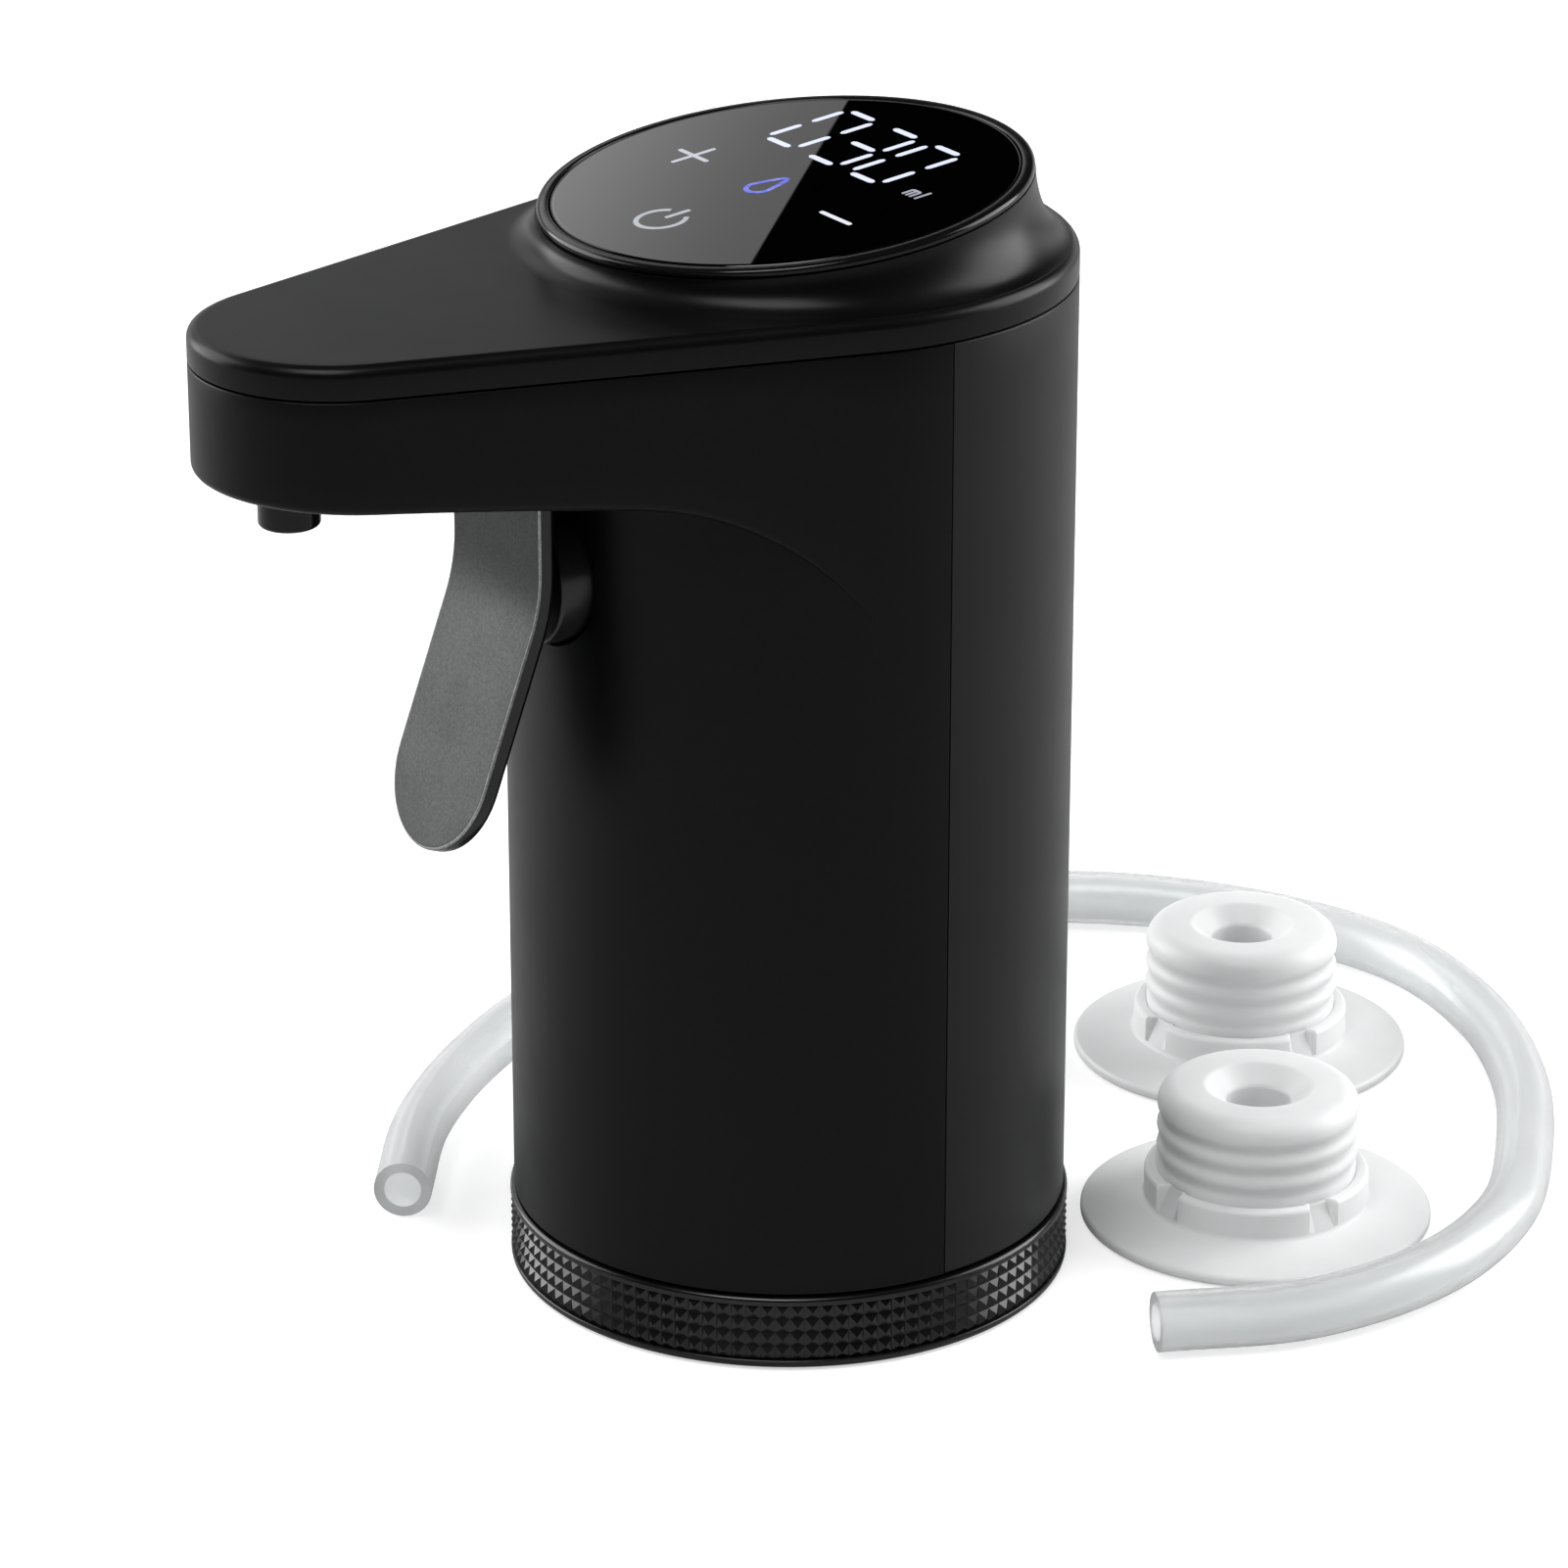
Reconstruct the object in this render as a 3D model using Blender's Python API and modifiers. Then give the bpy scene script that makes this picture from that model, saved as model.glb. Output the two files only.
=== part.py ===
"""Electric wine aerator: a battery air pump in a round body that stands on a bottle's neck and
pushes the wine up through a tube, along a tapered arm and out of the nozzle at its tip.

Metres, +Z up. The origin is on the body's axis, at the underside of the knurled ring, and the
arm points along -Y. Two spare stoppers and the dip tube lie beside it.
"""

import math

import bmesh
import bpy
from mathutils import Matrix, Vector

# Gaps and overruns
CLEAR = 0.0003
OVERRUN = 0.002
MERGE = 0.000002

# Body tube and its two half shells
BODY_R = 0.0232
WALL = 0.0018
CELL_HEAD_ROOM = 0.0191
MOTOR_HEAD_ROOM = 0.0290

# Arm, seen from above a smaller circle joined to the body by its tangents
ARM_TIP_R = 0.01164
ARM_REACH = 0.04113
ARM_UNDER_R = 0.4000
FILLET_R = 0.0251
FILLET_OUT = 0.0042
FILLET_DROP = 0.0360
FILLET_END = math.radians(83.5)

# Top cover and its flared collar
COVER_H = 0.0025
COVER_ROUND = 0.0009
COVER_LIP_H = 0.0014
COVER_LIP_W = 0.0012
COLLAR_INSET = 0.0006
COLLAR_FLARE = 0.0027

# Round display, tipped towards the arm
DISPLAY_Y = 0.0004
DISPLAY_RISE = 0.0074
DISPLAY_TILT = math.radians(6.5)
BEZEL_H = 0.0020
BEZEL_RIM = 0.0010
BEZEL_LEDGE = 0.0014
GLASS_T = 0.0011
LED_W_SHARE = 1.005
LED_D_SHARE = 0.5225
LED_H = 0.0032
LED_Y_SHARE = 0.432
BOARD_T = 0.0012
BOARD_EDGE = 0.0005
TOUCH_R = 0.0019
TOUCH_SHARES = ((-0.555, -0.11), (0.555, -0.11), (0.0, -0.63))

# Knurled base ring, which twists off for cleaning
RING_H = 0.0063
RING_BAND = 0.0007
RING_CHAMFER = 0.0003
KNURL_DEPTH = 0.00035
KNURL_COLUMNS = 84
KNURL_ROWS = 4
RING_SPIGOT_H = 0.0027

# Bottle socket, gasket and stopper
SOCKET_INSET = 0.0055
SOCKET_WALL = 0.0018
SOCKET_DEPTH = 0.0150
SOCKET_FLOOR = 0.0016
GASKET_H = 0.0014
STOPPER_GAP = 0.0006
STOPPER_FLANGE_T = 0.0009
STOPPER_DISH = 0.0009
STOPPER_COLLAR_R = 0.0096
STOPPER_COLLAR_H = 0.0026
STOPPER_HUB_R = 0.0086
STOPPER_H = 0.0120
STOPPER_BORE_R = 0.00275
STOPPER_CUP_R = 0.0042
STOPPER_RIB = 0.0007
STOPPER_RIBS = 3
NOTCH_W = 0.0030
NOTCH_D = 0.0010
NOTCHES = 4

# Nozzle and the elbow behind it
NOZZLE_OUT = 0.00477
NOZZLE_R = 0.00245
NOZZLE_BORE_R = 0.0015
NOZZLE_DROP = 0.0036
NOZZLE_FLANGE_R = 0.0034
NOZZLE_FLANGE_T = 0.0010
ELBOW_R = 0.0034
ELBOW_H = 0.0039
ELBOW_TURN = math.radians(36)
BARB_R = 0.0012
BARB_BORE_R = 0.0007
BARB_L = 0.0045

# Wine hose
HOSE_R = 0.0022
HOSE_BORE_R = 0.0015
HOSE_SIDE_SHARE = 0.7725
HOSE_BACK = 0.0010
HOSE_POINT_STEP = 0.0044

# Trigger lever, its pin, spring and the button that it presses
PIVOT_OUT = 0.0036
PIVOT_DROP = 0.0064
PIN_R = 0.0009
PIN_LEFT = 0.0088
PIN_RIGHT = 0.0130
HUB_R = 0.0024
LEVER_W = 0.0134
LEVER_T = 0.0015
LEVER_BEND_DROP = 0.0150
LEVER_BEND_R = 0.0160
LEVER_SPLAY = math.radians(20.5)
LEVER_DROP = 0.0358
LEVER_STATIONS = 26
EAR_T = 0.0014
EAR_H = 0.0058
EAR_W = 0.0044
SPRING_WIRE_R = 0.00025
SPRING_COIL_R = 0.0019
SPRING_TURNS = 3
SPRING_TURN_POINTS = 10
SPRING_PITCH = 0.0010
PLUNGER_DROP = 0.0144
PLUNGER_R = 0.0060
PLUNGER_L = 0.0068
PLUNGER_DOME_R = 0.0300
PLUNGER_STEM_R = 0.0016
PLUNGER_STEM_L = 0.0040

# Inner chassis, middle frame and what they carry
CHASSIS_T = 0.0020
FRAME_Y_SHARE = 0.218
FRAME_T = 0.0009
FRAME_W_SHARE = 1.877
FRAME_DROP = 0.0098
SHELF_T = 0.0012
SHELF_W = 0.0150
SWITCH_W = 0.0128
SWITCH_D = 0.0062
SWITCH_H = 0.0066
SWITCH_TRAVEL = 0.0017
FOOT_X_SHARE = 0.749
FOOT_SIZE_SHARE = 0.2464
FOOT_T = 0.0016
SCREW_R = 0.0009
SCREW_HEAD_R = 0.0019
SCREW_HEAD_H = 0.0014
SCREW_SLOT_W = 0.0005

# Manifold under the pump
SPIGOT_R = 0.00245
SPIGOT_BORE_R = 0.0014
SPIGOT_TIP_Z = 0.0040
MANIFOLD_R = 0.0040
MANIFOLD_H = 0.0050

# Pump and motor
MOTOR_Y_SHARE = 0.2938
MOTOR_R_SHARE = 0.474
MOTOR_L = 0.0200
MOTOR_FRONT_T = 0.0012
PUMP_R_SHARE = 0.4834
PUMP_H = 0.0125
PUMP_WALL = 0.0012
SHAFT_R = 0.0010
SHAFT_GAP = 0.0003
ECCENTRIC_R = 0.0040
ECCENTRIC_H = 0.0026
ECCENTRIC_OFFSET = 0.0010
DIAPHRAGM_R_SHARE = 0.3886
DIAPHRAGM_T = 0.0012
DIAPHRAGM_BUTTON_R = 0.0028
PORT_R = 0.0012
PORT_L = 0.0022
AIR_HOSE_R = 0.0016
AIR_NIPPLE_X_SHARE = 0.782
AIR_NIPPLE_Y = 0.0020
AIR_NIPPLE_H = 0.0022

# Battery cell, charging board and socket
CELL_R_SHARE = 0.3365
CELL_L = 0.0480
CELL_Y_SHARE = 0.6114
CELL_BUTTON_R = 0.0028
CELL_BUTTON_H = 0.0010
CELL_BAND_T = 0.0010
CELL_BAND_H = 0.0060
CHARGE_BOARD_W_SHARE = 0.853
CHARGE_BOARD_D_SHARE = 0.6256
PORT_W = 0.0090
PORT_D = 0.0074
PORT_H = 0.0032
PORT_INSET = 0.0008
PORT_WALL = 0.0004
PORT_DEPTH = 0.0056
WIRE_R = 0.0005

# Loose pieces that lie beside the body
SPARE_1_TURN = math.radians(65.334)
SPARE_1_GAP = 0.00195
SPARE_2_TURN = math.radians(145.222)
SPARE_2_GAP = 0.00506
TUBE_R = 0.0025
TUBE_ROUTE = (
    (0.0332, 0.0142), (0.0382, 0.0264), (0.0379, 0.0397), (0.0326, 0.0516), (0.0233, 0.0612),
    (0.0122, 0.0697), (-0.0006, 0.0757), (-0.0148, 0.0778), (-0.0284, 0.0735), (-0.0402, 0.0646),
    (-0.0484, 0.0520), (-0.0528, 0.0381), (-0.0532, 0.0228), (-0.0500, 0.0076),
    (-0.0429, -0.0053), (-0.0334, -0.0164), (-0.0223, -0.0249),
)
TUBE_POINT_STEP = 0.0060

# Facets
ROUND_STEPS = 48
SMALL_STEPS = 12
BODY_ARC_STEPS = 42
TIP_ARC_STEPS = 18
FRONT_ARC_STEPS = 28
FILLET_STEPS = 12
UNDER_STEPS = 4
DOME_STEPS = 4
COLLAR_STEPS = 5
RIM_STEPS = 2
LEVER_END_STEPS = 12

# Radii that follow from the body's
COLLAR_R = BODY_R - COLLAR_INSET
BEZEL_R = COLLAR_R - COLLAR_FLARE
RING_R = BODY_R + KNURL_DEPTH
CHASSIS_R = BODY_R - WALL - CLEAR
SOCKET_R = CHASSIS_R - SOCKET_INSET
STOPPER_FLANGE_R = SOCKET_R - STOPPER_GAP

# Heights, from the deck up by the taller of the cell and the pump's stack to the seam, and down
# again from there
CHASSIS_Z = SOCKET_DEPTH + SOCKET_FLOOR + CLEAR
CHASSIS_TOP_Z = CHASSIS_Z + CHASSIS_T
DECK_Z = CHASSIS_TOP_Z + CLEAR
PUMP_Z = DECK_Z + MANIFOLD_H + CLEAR
MOTOR_Z = PUMP_Z + PUMP_H + CLEAR
SEAM_Z = max(DECK_Z + CELL_L + CELL_HEAD_ROOM, MOTOR_Z + MOTOR_L + MOTOR_HEAD_ROOM)
COVER_Z = SEAM_Z + CLEAR / 2
COVER_TOP_Z = COVER_Z + COVER_H
DISPLAY_Z = SEAM_Z + DISPLAY_RISE
SHELL_LOW_Z = RING_H + CLEAR
SHELL_TOP_Z = SEAM_Z - CLEAR / 2
FILLET_Z = SEAM_Z - FILLET_DROP
FILLET_TOP_Z = FILLET_Z + FILLET_R
PIVOT_Z = SEAM_Z - PIVOT_DROP
LEVER_BEND_Z = PIVOT_Z - LEVER_BEND_DROP
LEVER_BOTTOM_Z = PIVOT_Z - LEVER_DROP
PLUNGER_Z = PIVOT_Z - PLUNGER_DROP
FRAME_TOP_Z = SEAM_Z - FRAME_DROP
CHARGE_Z = FRAME_TOP_Z + SHELF_T + BOARD_T + 3 * CLEAR

# Places along the arm
ARM_LEAN = math.asin((BODY_R - ARM_TIP_R) / ARM_REACH)
ARM_TIP_Y = ARM_REACH + ARM_TIP_R
FILLET_Y = BODY_R + FILLET_OUT
PIVOT_Y = BODY_R + PIVOT_OUT
LEVER_BACK_Y = PIVOT_Y - LEVER_T / 2
NOZZLE_Y = ARM_REACH + NOZZLE_OUT

# The works inside, which share the room within the body
MOTOR_Y = CHASSIS_R * MOTOR_Y_SHARE
MOTOR_R = CHASSIS_R * MOTOR_R_SHARE
PUMP_R = CHASSIS_R * PUMP_R_SHARE
DIAPHRAGM_R = CHASSIS_R * DIAPHRAGM_R_SHARE
AIR_NIPPLE_X = CHASSIS_R * AIR_NIPPLE_X_SHARE
HOSE_SIDE = CHASSIS_R * HOSE_SIDE_SHARE
FRAME_Y = CHASSIS_R * FRAME_Y_SHARE
FRAME_W = CHASSIS_R * FRAME_W_SHARE
FOOT_X = CHASSIS_R * FOOT_X_SHARE
FOOT_D = CHASSIS_R * FOOT_SIZE_SHARE
FOOT_W = CHASSIS_R * FOOT_SIZE_SHARE
CELL_R = CHASSIS_R * CELL_R_SHARE
CELL_Y = CHASSIS_R * CELL_Y_SHARE
CHARGE_BOARD_W = CHASSIS_R * CHARGE_BOARD_W_SHARE
CHARGE_BOARD_D = CHASSIS_R * CHARGE_BOARD_D_SHARE
LED_W = BEZEL_R * LED_W_SHARE
LED_D = BEZEL_R * LED_D_SHARE
LED_Y = BEZEL_R * LED_Y_SHARE

# The first spare stopper lies off the ring, and the second off the first
SPARE_1_REACH = RING_R + SPARE_1_GAP + STOPPER_FLANGE_R
SPARE_2_REACH = 2 * STOPPER_FLANGE_R + SPARE_2_GAP
SPARE_1_PLACE = Vector((math.cos(SPARE_1_TURN), math.sin(SPARE_1_TURN))) * SPARE_1_REACH
SPARE_2_STEP = Vector((math.cos(SPARE_2_TURN), math.sin(SPARE_2_TURN))) * SPARE_2_REACH
SPARE_PLACES = (SPARE_1_PLACE, SPARE_1_PLACE + SPARE_2_STEP)


def clear_scene():
    for obj in list(bpy.data.objects):
        bpy.data.objects.remove(obj, do_unlink=True)


def new_collection(name):
    group = bpy.data.collections.new(name)
    bpy.context.scene.collection.children.link(group)
    return group


clear_scene()
PARTS = new_collection("wine_aerator")
CUTTERS = new_collection("cutters")


def finish(name, colour, roughness, metallic=0.0):
    """The named material, made once."""
    made = bpy.data.materials.get(name)
    if made is None:
        made = bpy.data.materials.new(name)
        made.use_nodes = True
        made.diffuse_color = (*colour, 1.0)
        shader = made.node_tree.nodes["Principled BSDF"]
        shader.inputs["Base Color"].default_value = (*colour, 1.0)
        shader.inputs["Roughness"].default_value = roughness
        shader.inputs["Metallic"].default_value = metallic
    return made


def soft_touch_black():
    return finish("soft_touch_black", (0.012, 0.012, 0.013), 0.5)


def gloss_black():
    return finish("gloss_black", (0.008, 0.008, 0.009), 0.12)


def graphite_paint():
    return finish("graphite_paint", (0.045, 0.046, 0.048), 0.42, 0.3)


def display_glass_black():
    return finish("display_glass_black", (0.004, 0.004, 0.005), 0.04)


def natural_silicone():
    return finish("natural_silicone", (0.82, 0.84, 0.85), 0.35)


def inner_plastic():
    return finish("inner_plastic", (0.10, 0.10, 0.11), 0.55)


def black_rubber():
    return finish("black_rubber", (0.02, 0.02, 0.02), 0.8)


def board_green():
    return finish("board_green", (0.01, 0.09, 0.03), 0.4)


def bright_steel():
    return finish("bright_steel", (0.62, 0.62, 0.63), 0.25, 1.0)


def cell_wrap():
    return finish("cell_wrap", (0.03, 0.14, 0.36), 0.35)


def wire_red():
    return finish("wire_red", (0.45, 0.02, 0.02), 0.45)


def place(name, mesh, paint):
    """Puts a mesh in the scene: a part when it has a paint, otherwise a hidden cutter."""
    obj = bpy.data.objects.new(name, mesh)
    if paint is None:
        CUTTERS.objects.link(obj)
        obj.hide_render = True
        obj.display_type = "WIRE"
    else:
        PARTS.objects.link(obj)
        mesh.materials.append(paint)
    return obj


def smooth(mesh):
    mesh.shade_smooth()
    mesh.set_sharp_from_angle(angle=math.radians(35))


def placed_from(form, name, paint):
    mesh = bpy.data.meshes.new(name)
    form.to_mesh(mesh)
    form.free()
    smooth(mesh)
    return place(name, mesh, paint)


def boolean(obj, operation, tools):
    for tool in tools:
        step = obj.modifiers.new(operation.lower(), "BOOLEAN")
        step.operation = operation
        step.solver = "EXACT"
        step.object = tool
    return obj


def cut(obj, *tools):
    return boolean(obj, "DIFFERENCE", tools)


def join(obj, *tools):
    return boolean(obj, "UNION", tools)


def mesh_of_curve(guide, name, paint):
    """Turns a curve object into a mesh part with its caps welded, and removes the curve."""
    bpy.context.scene.collection.objects.link(guide)
    graph = bpy.context.evaluated_depsgraph_get()
    graph.update()
    mesh = bpy.data.meshes.new_from_object(guide.evaluated_get(graph))
    mesh.name = name
    form = bmesh.new()
    form.from_mesh(mesh)
    bmesh.ops.remove_doubles(form, verts=form.verts, dist=MERGE)
    form.to_mesh(mesh)
    form.free()
    smooth(mesh)
    obj = place(name, mesh, paint)
    obj.matrix_world = guide.matrix_world.copy()
    bpy.data.objects.remove(guide, do_unlink=True)
    return obj


def plate(name, outline, low, high, paint=None, sideways=False):
    """A flat outline filled and extruded from low to high. Sideways, the outline's two
    directions are Y and Z, and it is extruded along X."""
    curve = bpy.data.curves.new(name, "CURVE")
    curve.dimensions = "2D"
    curve.fill_mode = "BOTH"
    curve.extrude = (high - low) / 2
    spline = curve.splines.new("POLY")
    spline.points.add(len(outline) - 1)
    for point, (across, along) in zip(spline.points, outline):
        point.co = (across, along, 0, 1)
    spline.use_cyclic_u = True
    guide = bpy.data.objects.new(name + "_outline", curve)
    middle = (low + high) / 2
    if sideways:
        turn = Matrix(((0, 0, 1, middle), (1, 0, 0, 0), (0, 1, 0, 0), (0, 0, 0, 1)))
    else:
        turn = Matrix.Translation((0, 0, middle))
    guide.matrix_world = turn
    return mesh_of_curve(guide, name, paint)


def block(name, low, high, paint=None):
    """A box between two corners."""
    low, high = Vector(low), Vector(high)
    size = high - low
    form = bmesh.new()
    where = Matrix.Translation((low + high) / 2) @ Matrix.Diagonal((*size, 1))
    bmesh.ops.create_cube(form, size=1, matrix=where)
    return placed_from(form, name, paint)


def rod(name, radius, start, end, paint=None, steps=SMALL_STEPS):
    """A round bar from one point to another."""
    start, end = Vector(start), Vector(end)
    along = end - start
    form = bmesh.new()
    turn = Vector((0, 0, 1)).rotation_difference(along).to_matrix().to_4x4()
    bmesh.ops.create_cone(
        form, cap_ends=True, segments=steps, radius1=radius, radius2=radius,
        depth=along.length, matrix=Matrix.Translation((start + end) / 2) @ turn)
    return placed_from(form, name, paint)


def turned(name, profile, paint=None, steps=ROUND_STEPS, ring=False):
    """A profile of (radius, height) turned about Z. It runs down its outer side."""
    mesh = bpy.data.meshes.new(name)
    count = len(profile)
    edges = [(i, i + 1) for i in range(count - 1)]
    if ring:
        edges.append((count - 1, 0))
    mesh.from_pydata([(radius, 0, height) for radius, height in profile], edges, [])
    obj = place(name, mesh, paint)
    screw = obj.modifiers.new("turn", "SCREW")
    screw.steps = steps
    screw.render_steps = steps
    screw.use_merge_vertices = True
    screw.merge_threshold = MERGE
    screw.use_smooth_shade = True
    return obj


def disc(radius, low, high):
    """Profile of a plain disc."""
    return [(0, high), (radius, high), (radius, low), (0, low)]


def washer(outer, inner, low, high):
    """Profile of a flat ring."""
    return [(outer, high), (outer, low), (inner, low), (inner, high)]


def arc(centre, radius, start, end, steps):
    """Points along an arc, both ends included."""
    turns = [start + (end - start) * i / steps for i in range(steps + 1)]
    return [(centre[0] + radius * math.cos(t), centre[1] + radius * math.sin(t)) for t in turns]


def smooth_route(points, step):
    """Points a step apart on the curve that passes through the given ones."""
    knots = [Vector(p) for p in points]
    knots = [knots[0] * 2 - knots[1], *knots, knots[-1] * 2 - knots[-2]]
    route = []
    for before, here, there, after in zip(knots, knots[1:], knots[2:], knots[3:]):
        count = max(1, round((there - here).length / step))
        for i in range(count):
            t = i / count
            route.append(0.5 * (
                2 * here + (there - before) * t
                + (2 * before - 5 * here + 4 * there - after) * t ** 2
                + (3 * here - before - 3 * there + after) * t ** 3))
    route.append(knots[-2])
    return route


def tube(name, route, radius, paint=None, roundness=2):
    """A solid round tube along a route."""
    curve = bpy.data.curves.new(name, "CURVE")
    curve.dimensions = "3D"
    curve.bevel_depth = radius
    curve.bevel_resolution = roundness
    curve.use_fill_caps = True
    spline = curve.splines.new("POLY")
    spline.points.add(len(route) - 1)
    for point, where in zip(spline.points, route):
        point.co = (*where, 1)
    return mesh_of_curve(bpy.data.objects.new(name + "_route", curve), name, paint)


def hollow_tube(name, route, radius, bore_radius, paint):
    """A tube with its bore open at both ends."""
    first = Vector(route[0])
    last = Vector(route[-1])
    before = first + (first - Vector(route[1])).normalized() * OVERRUN
    after = last + (last - Vector(route[-2])).normalized() * OVERRUN
    bore = tube(name + "_bore", [before, *route, after], bore_radius)
    return cut(tube(name, route, radius, paint), bore)


def teardrop(inset):
    """Outline of body and arm from above, moved inwards by an inset."""
    big = arc((0, 0), BODY_R - inset, -ARM_LEAN, math.pi + ARM_LEAN, BODY_ARC_STEPS)
    tip = arc((0, -ARM_REACH), ARM_TIP_R - inset,
              math.pi + ARM_LEAN, 2 * math.pi - ARM_LEAN, TIP_ARC_STEPS)
    return big + tip


def body_circle(inset):
    """The body's circle, with a corner where the arm's sides touch it."""
    big = arc((0, 0), BODY_R - inset, -ARM_LEAN, math.pi + ARM_LEAN, BODY_ARC_STEPS)
    front = arc((0, 0), BODY_R - inset,
                math.pi + ARM_LEAN, 2 * math.pi - ARM_LEAN, FRONT_ARC_STEPS)
    return big + front[1:-1]


def long_curve_centre():
    """Centre (Y, Z) of the long curve under the arm, which carries on from the fillet."""
    back = ARM_UNDER_R - FILLET_R
    return (-FILLET_Y - back * math.cos(FILLET_END), FILLET_Z - back * math.sin(FILLET_END))


def under_arm(inset):
    """Side outline (Y, Z) of the space under the arm, raised by an inset."""
    far = ARM_TIP_Y + OVERRUN
    middle = long_curve_centre()
    radius = ARM_UNDER_R + inset
    far_turn = math.acos((-far - middle[0]) / radius)
    curve = arc(middle, radius, far_turn, FILLET_END, UNDER_STEPS)
    curl = arc((-FILLET_Y, FILLET_Z), FILLET_R + inset, FILLET_END, math.pi / 8, FILLET_STEPS)
    return [(-far, 0), *curve, *curl[1:], (curl[-1][0], 0)]


def arm_and_body(name, inset, low, high, paint=None):
    """The solid of body and arm together, shrunk by an inset."""
    solid = plate(name, teardrop(inset), low, high, paint)
    space = plate(name + "_space", under_arm(inset), -BODY_R - OVERRUN, BODY_R + OVERRUN,
                  sideways=True)
    core = plate(name + "_core", body_circle(inset), -OVERRUN, high + OVERRUN)
    return cut(solid, cut(space, core))


def under_z(y):
    """Height of the arm's underside at a distance in front of the axis."""
    if y >= FILLET_Y - FILLET_R * math.cos(FILLET_END):
        middle_y, middle_z = long_curve_centre()
        return middle_z + math.sqrt(ARM_UNDER_R ** 2 - (y + middle_y) ** 2)
    return FILLET_Z + math.sqrt(FILLET_R ** 2 - (FILLET_Y - y) ** 2)


ARM_FLOOR_Z = under_z(NOZZLE_Y + NOZZLE_FLANGE_R) + WALL


def lever_slot():
    """The opening in the arm's floor that the lever hangs through."""
    side = LEVER_W / 2 + 2 * CLEAR
    front = PIVOT_Y + LEVER_T / 2 + 2 * CLEAR
    back = LEVER_BACK_Y - 3 * CLEAR
    return block("lever_slot", (-side, -front, FILLET_TOP_Z - OVERRUN),
                 (side, -back, PIVOT_Z))


def pivot_ear(name, side):
    """One of the two ears that hold the pivot pin above the arm's floor."""
    near = LEVER_W / 2 + 2 * CLEAR
    low = FILLET_TOP_Z + WALL / 2
    return block(name, (min(side * near, side * (near + EAR_T)), -PIVOT_Y - EAR_W / 2, low),
                 (max(side * near, side * (near + EAR_T)), -PIVOT_Y + EAR_W / 2, low + EAR_H))


def front_housing():
    """Front half of the body with the arm's lower shell in one moulding."""
    shell = arm_and_body("front_housing", 0, SHELL_LOW_Z, SHELL_TOP_Z, soft_touch_black())
    hollow = arm_and_body("housing_hollow", WALL, -OVERRUN, SHELL_TOP_Z + OVERRUN)
    rear = block("housing_rear", (-BODY_R - OVERRUN, -CLEAR / 2, -OVERRUN),
                 (BODY_R + OVERRUN, BODY_R + OVERRUN, SHELL_TOP_Z + OVERRUN))
    button_hole = rod("button_hole", PLUNGER_R + 1.5 * CLEAR, (0, -BODY_R - OVERRUN, PLUNGER_Z),
                      (0, -BODY_R / 2, PLUNGER_Z), steps=2 * SMALL_STEPS)
    nozzle_hole = rod("nozzle_hole", NOZZLE_R + CLEAR, (0, -NOZZLE_Y, ARM_FLOOR_Z - WALL - OVERRUN),
                      (0, -NOZZLE_Y, ARM_FLOOR_Z + OVERRUN))
    ears = [pivot_ear("ear_left", -1), pivot_ear("ear_right", 1)]
    pin_hole = rod("pin_hole", PIN_R + CLEAR, (-PIN_LEFT - CLEAR, -PIVOT_Y, PIVOT_Z),
                   (PIN_RIGHT + CLEAR, -PIVOT_Y, PIVOT_Z))
    cut(shell, hollow, rear, button_hole, nozzle_hole)
    join(shell, *ears)
    return cut(shell, lever_slot(), pin_hole)


def rear_cover():
    """Rear half of the body, with the opening for the charging socket."""
    shell = plate("rear_cover", body_circle(0), SHELL_LOW_Z, SHELL_TOP_Z, soft_touch_black())
    hollow = plate("cover_hollow", body_circle(WALL), -OVERRUN, SHELL_TOP_Z + OVERRUN)
    front = block("cover_front", (-BODY_R - OVERRUN, -BODY_R - OVERRUN, -OVERRUN),
                  (BODY_R + OVERRUN, CLEAR / 2, SHELL_TOP_Z + OVERRUN))
    gap = CLEAR
    slot = charging_slot("charging_slot", PORT_W + 2 * gap, PORT_H + 2 * gap, BODY_R / 2,
                         BODY_R + OVERRUN)
    return cut(shell, hollow, front, slot)


def charging_slot(name, width, height, start, end, paint=None):
    """A flat bar with round ends, along Y, in line with the charging socket."""
    radius = height / 2 - PORT_WALL
    middle = CHARGE_Z + PORT_H / 2
    form = block(name, (-width / 2, start, middle - height / 2),
                 (width / 2, end, middle + height / 2), paint)
    bevel = form.modifiers.new("round", "BEVEL")
    bevel.width = radius
    bevel.segments = 3
    bevel.limit_method = "WEIGHT"
    mark_long_edges(form.data)
    return form


def mark_long_edges(mesh):
    """Gives the four edges along Y a full bevel weight."""
    weights = mesh.attributes.new("bevel_weight_edge", "FLOAT", "EDGE")
    for edge in mesh.edges:
        one, other = (mesh.vertices[i].co for i in edge.vertices)
        along = other - one
        weights.data[edge.index].value = float(abs(along.y) > along.length / 2)


def rounded_plate(name, outline, low, high, radius, paint):
    """A plate whose upper rim is rounded."""
    obj = plate(name, outline, low, high, paint)
    form = bmesh.new()
    form.from_mesh(obj.data)
    bmesh.ops.dissolve_limit(form, angle_limit=math.radians(0.5), verts=form.verts,
                             edges=form.edges)
    top = max(v.co.z for v in form.verts)
    rim = [e for e in form.edges if all(top - v.co.z < MERGE for v in e.verts)]
    bmesh.ops.bevel(form, geom=rim, offset=radius, offset_type="OFFSET", segments=RIM_STEPS,
                    profile=0.5, affect="EDGES")
    form.to_mesh(obj.data)
    form.free()
    smooth(obj.data)
    return obj


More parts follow.
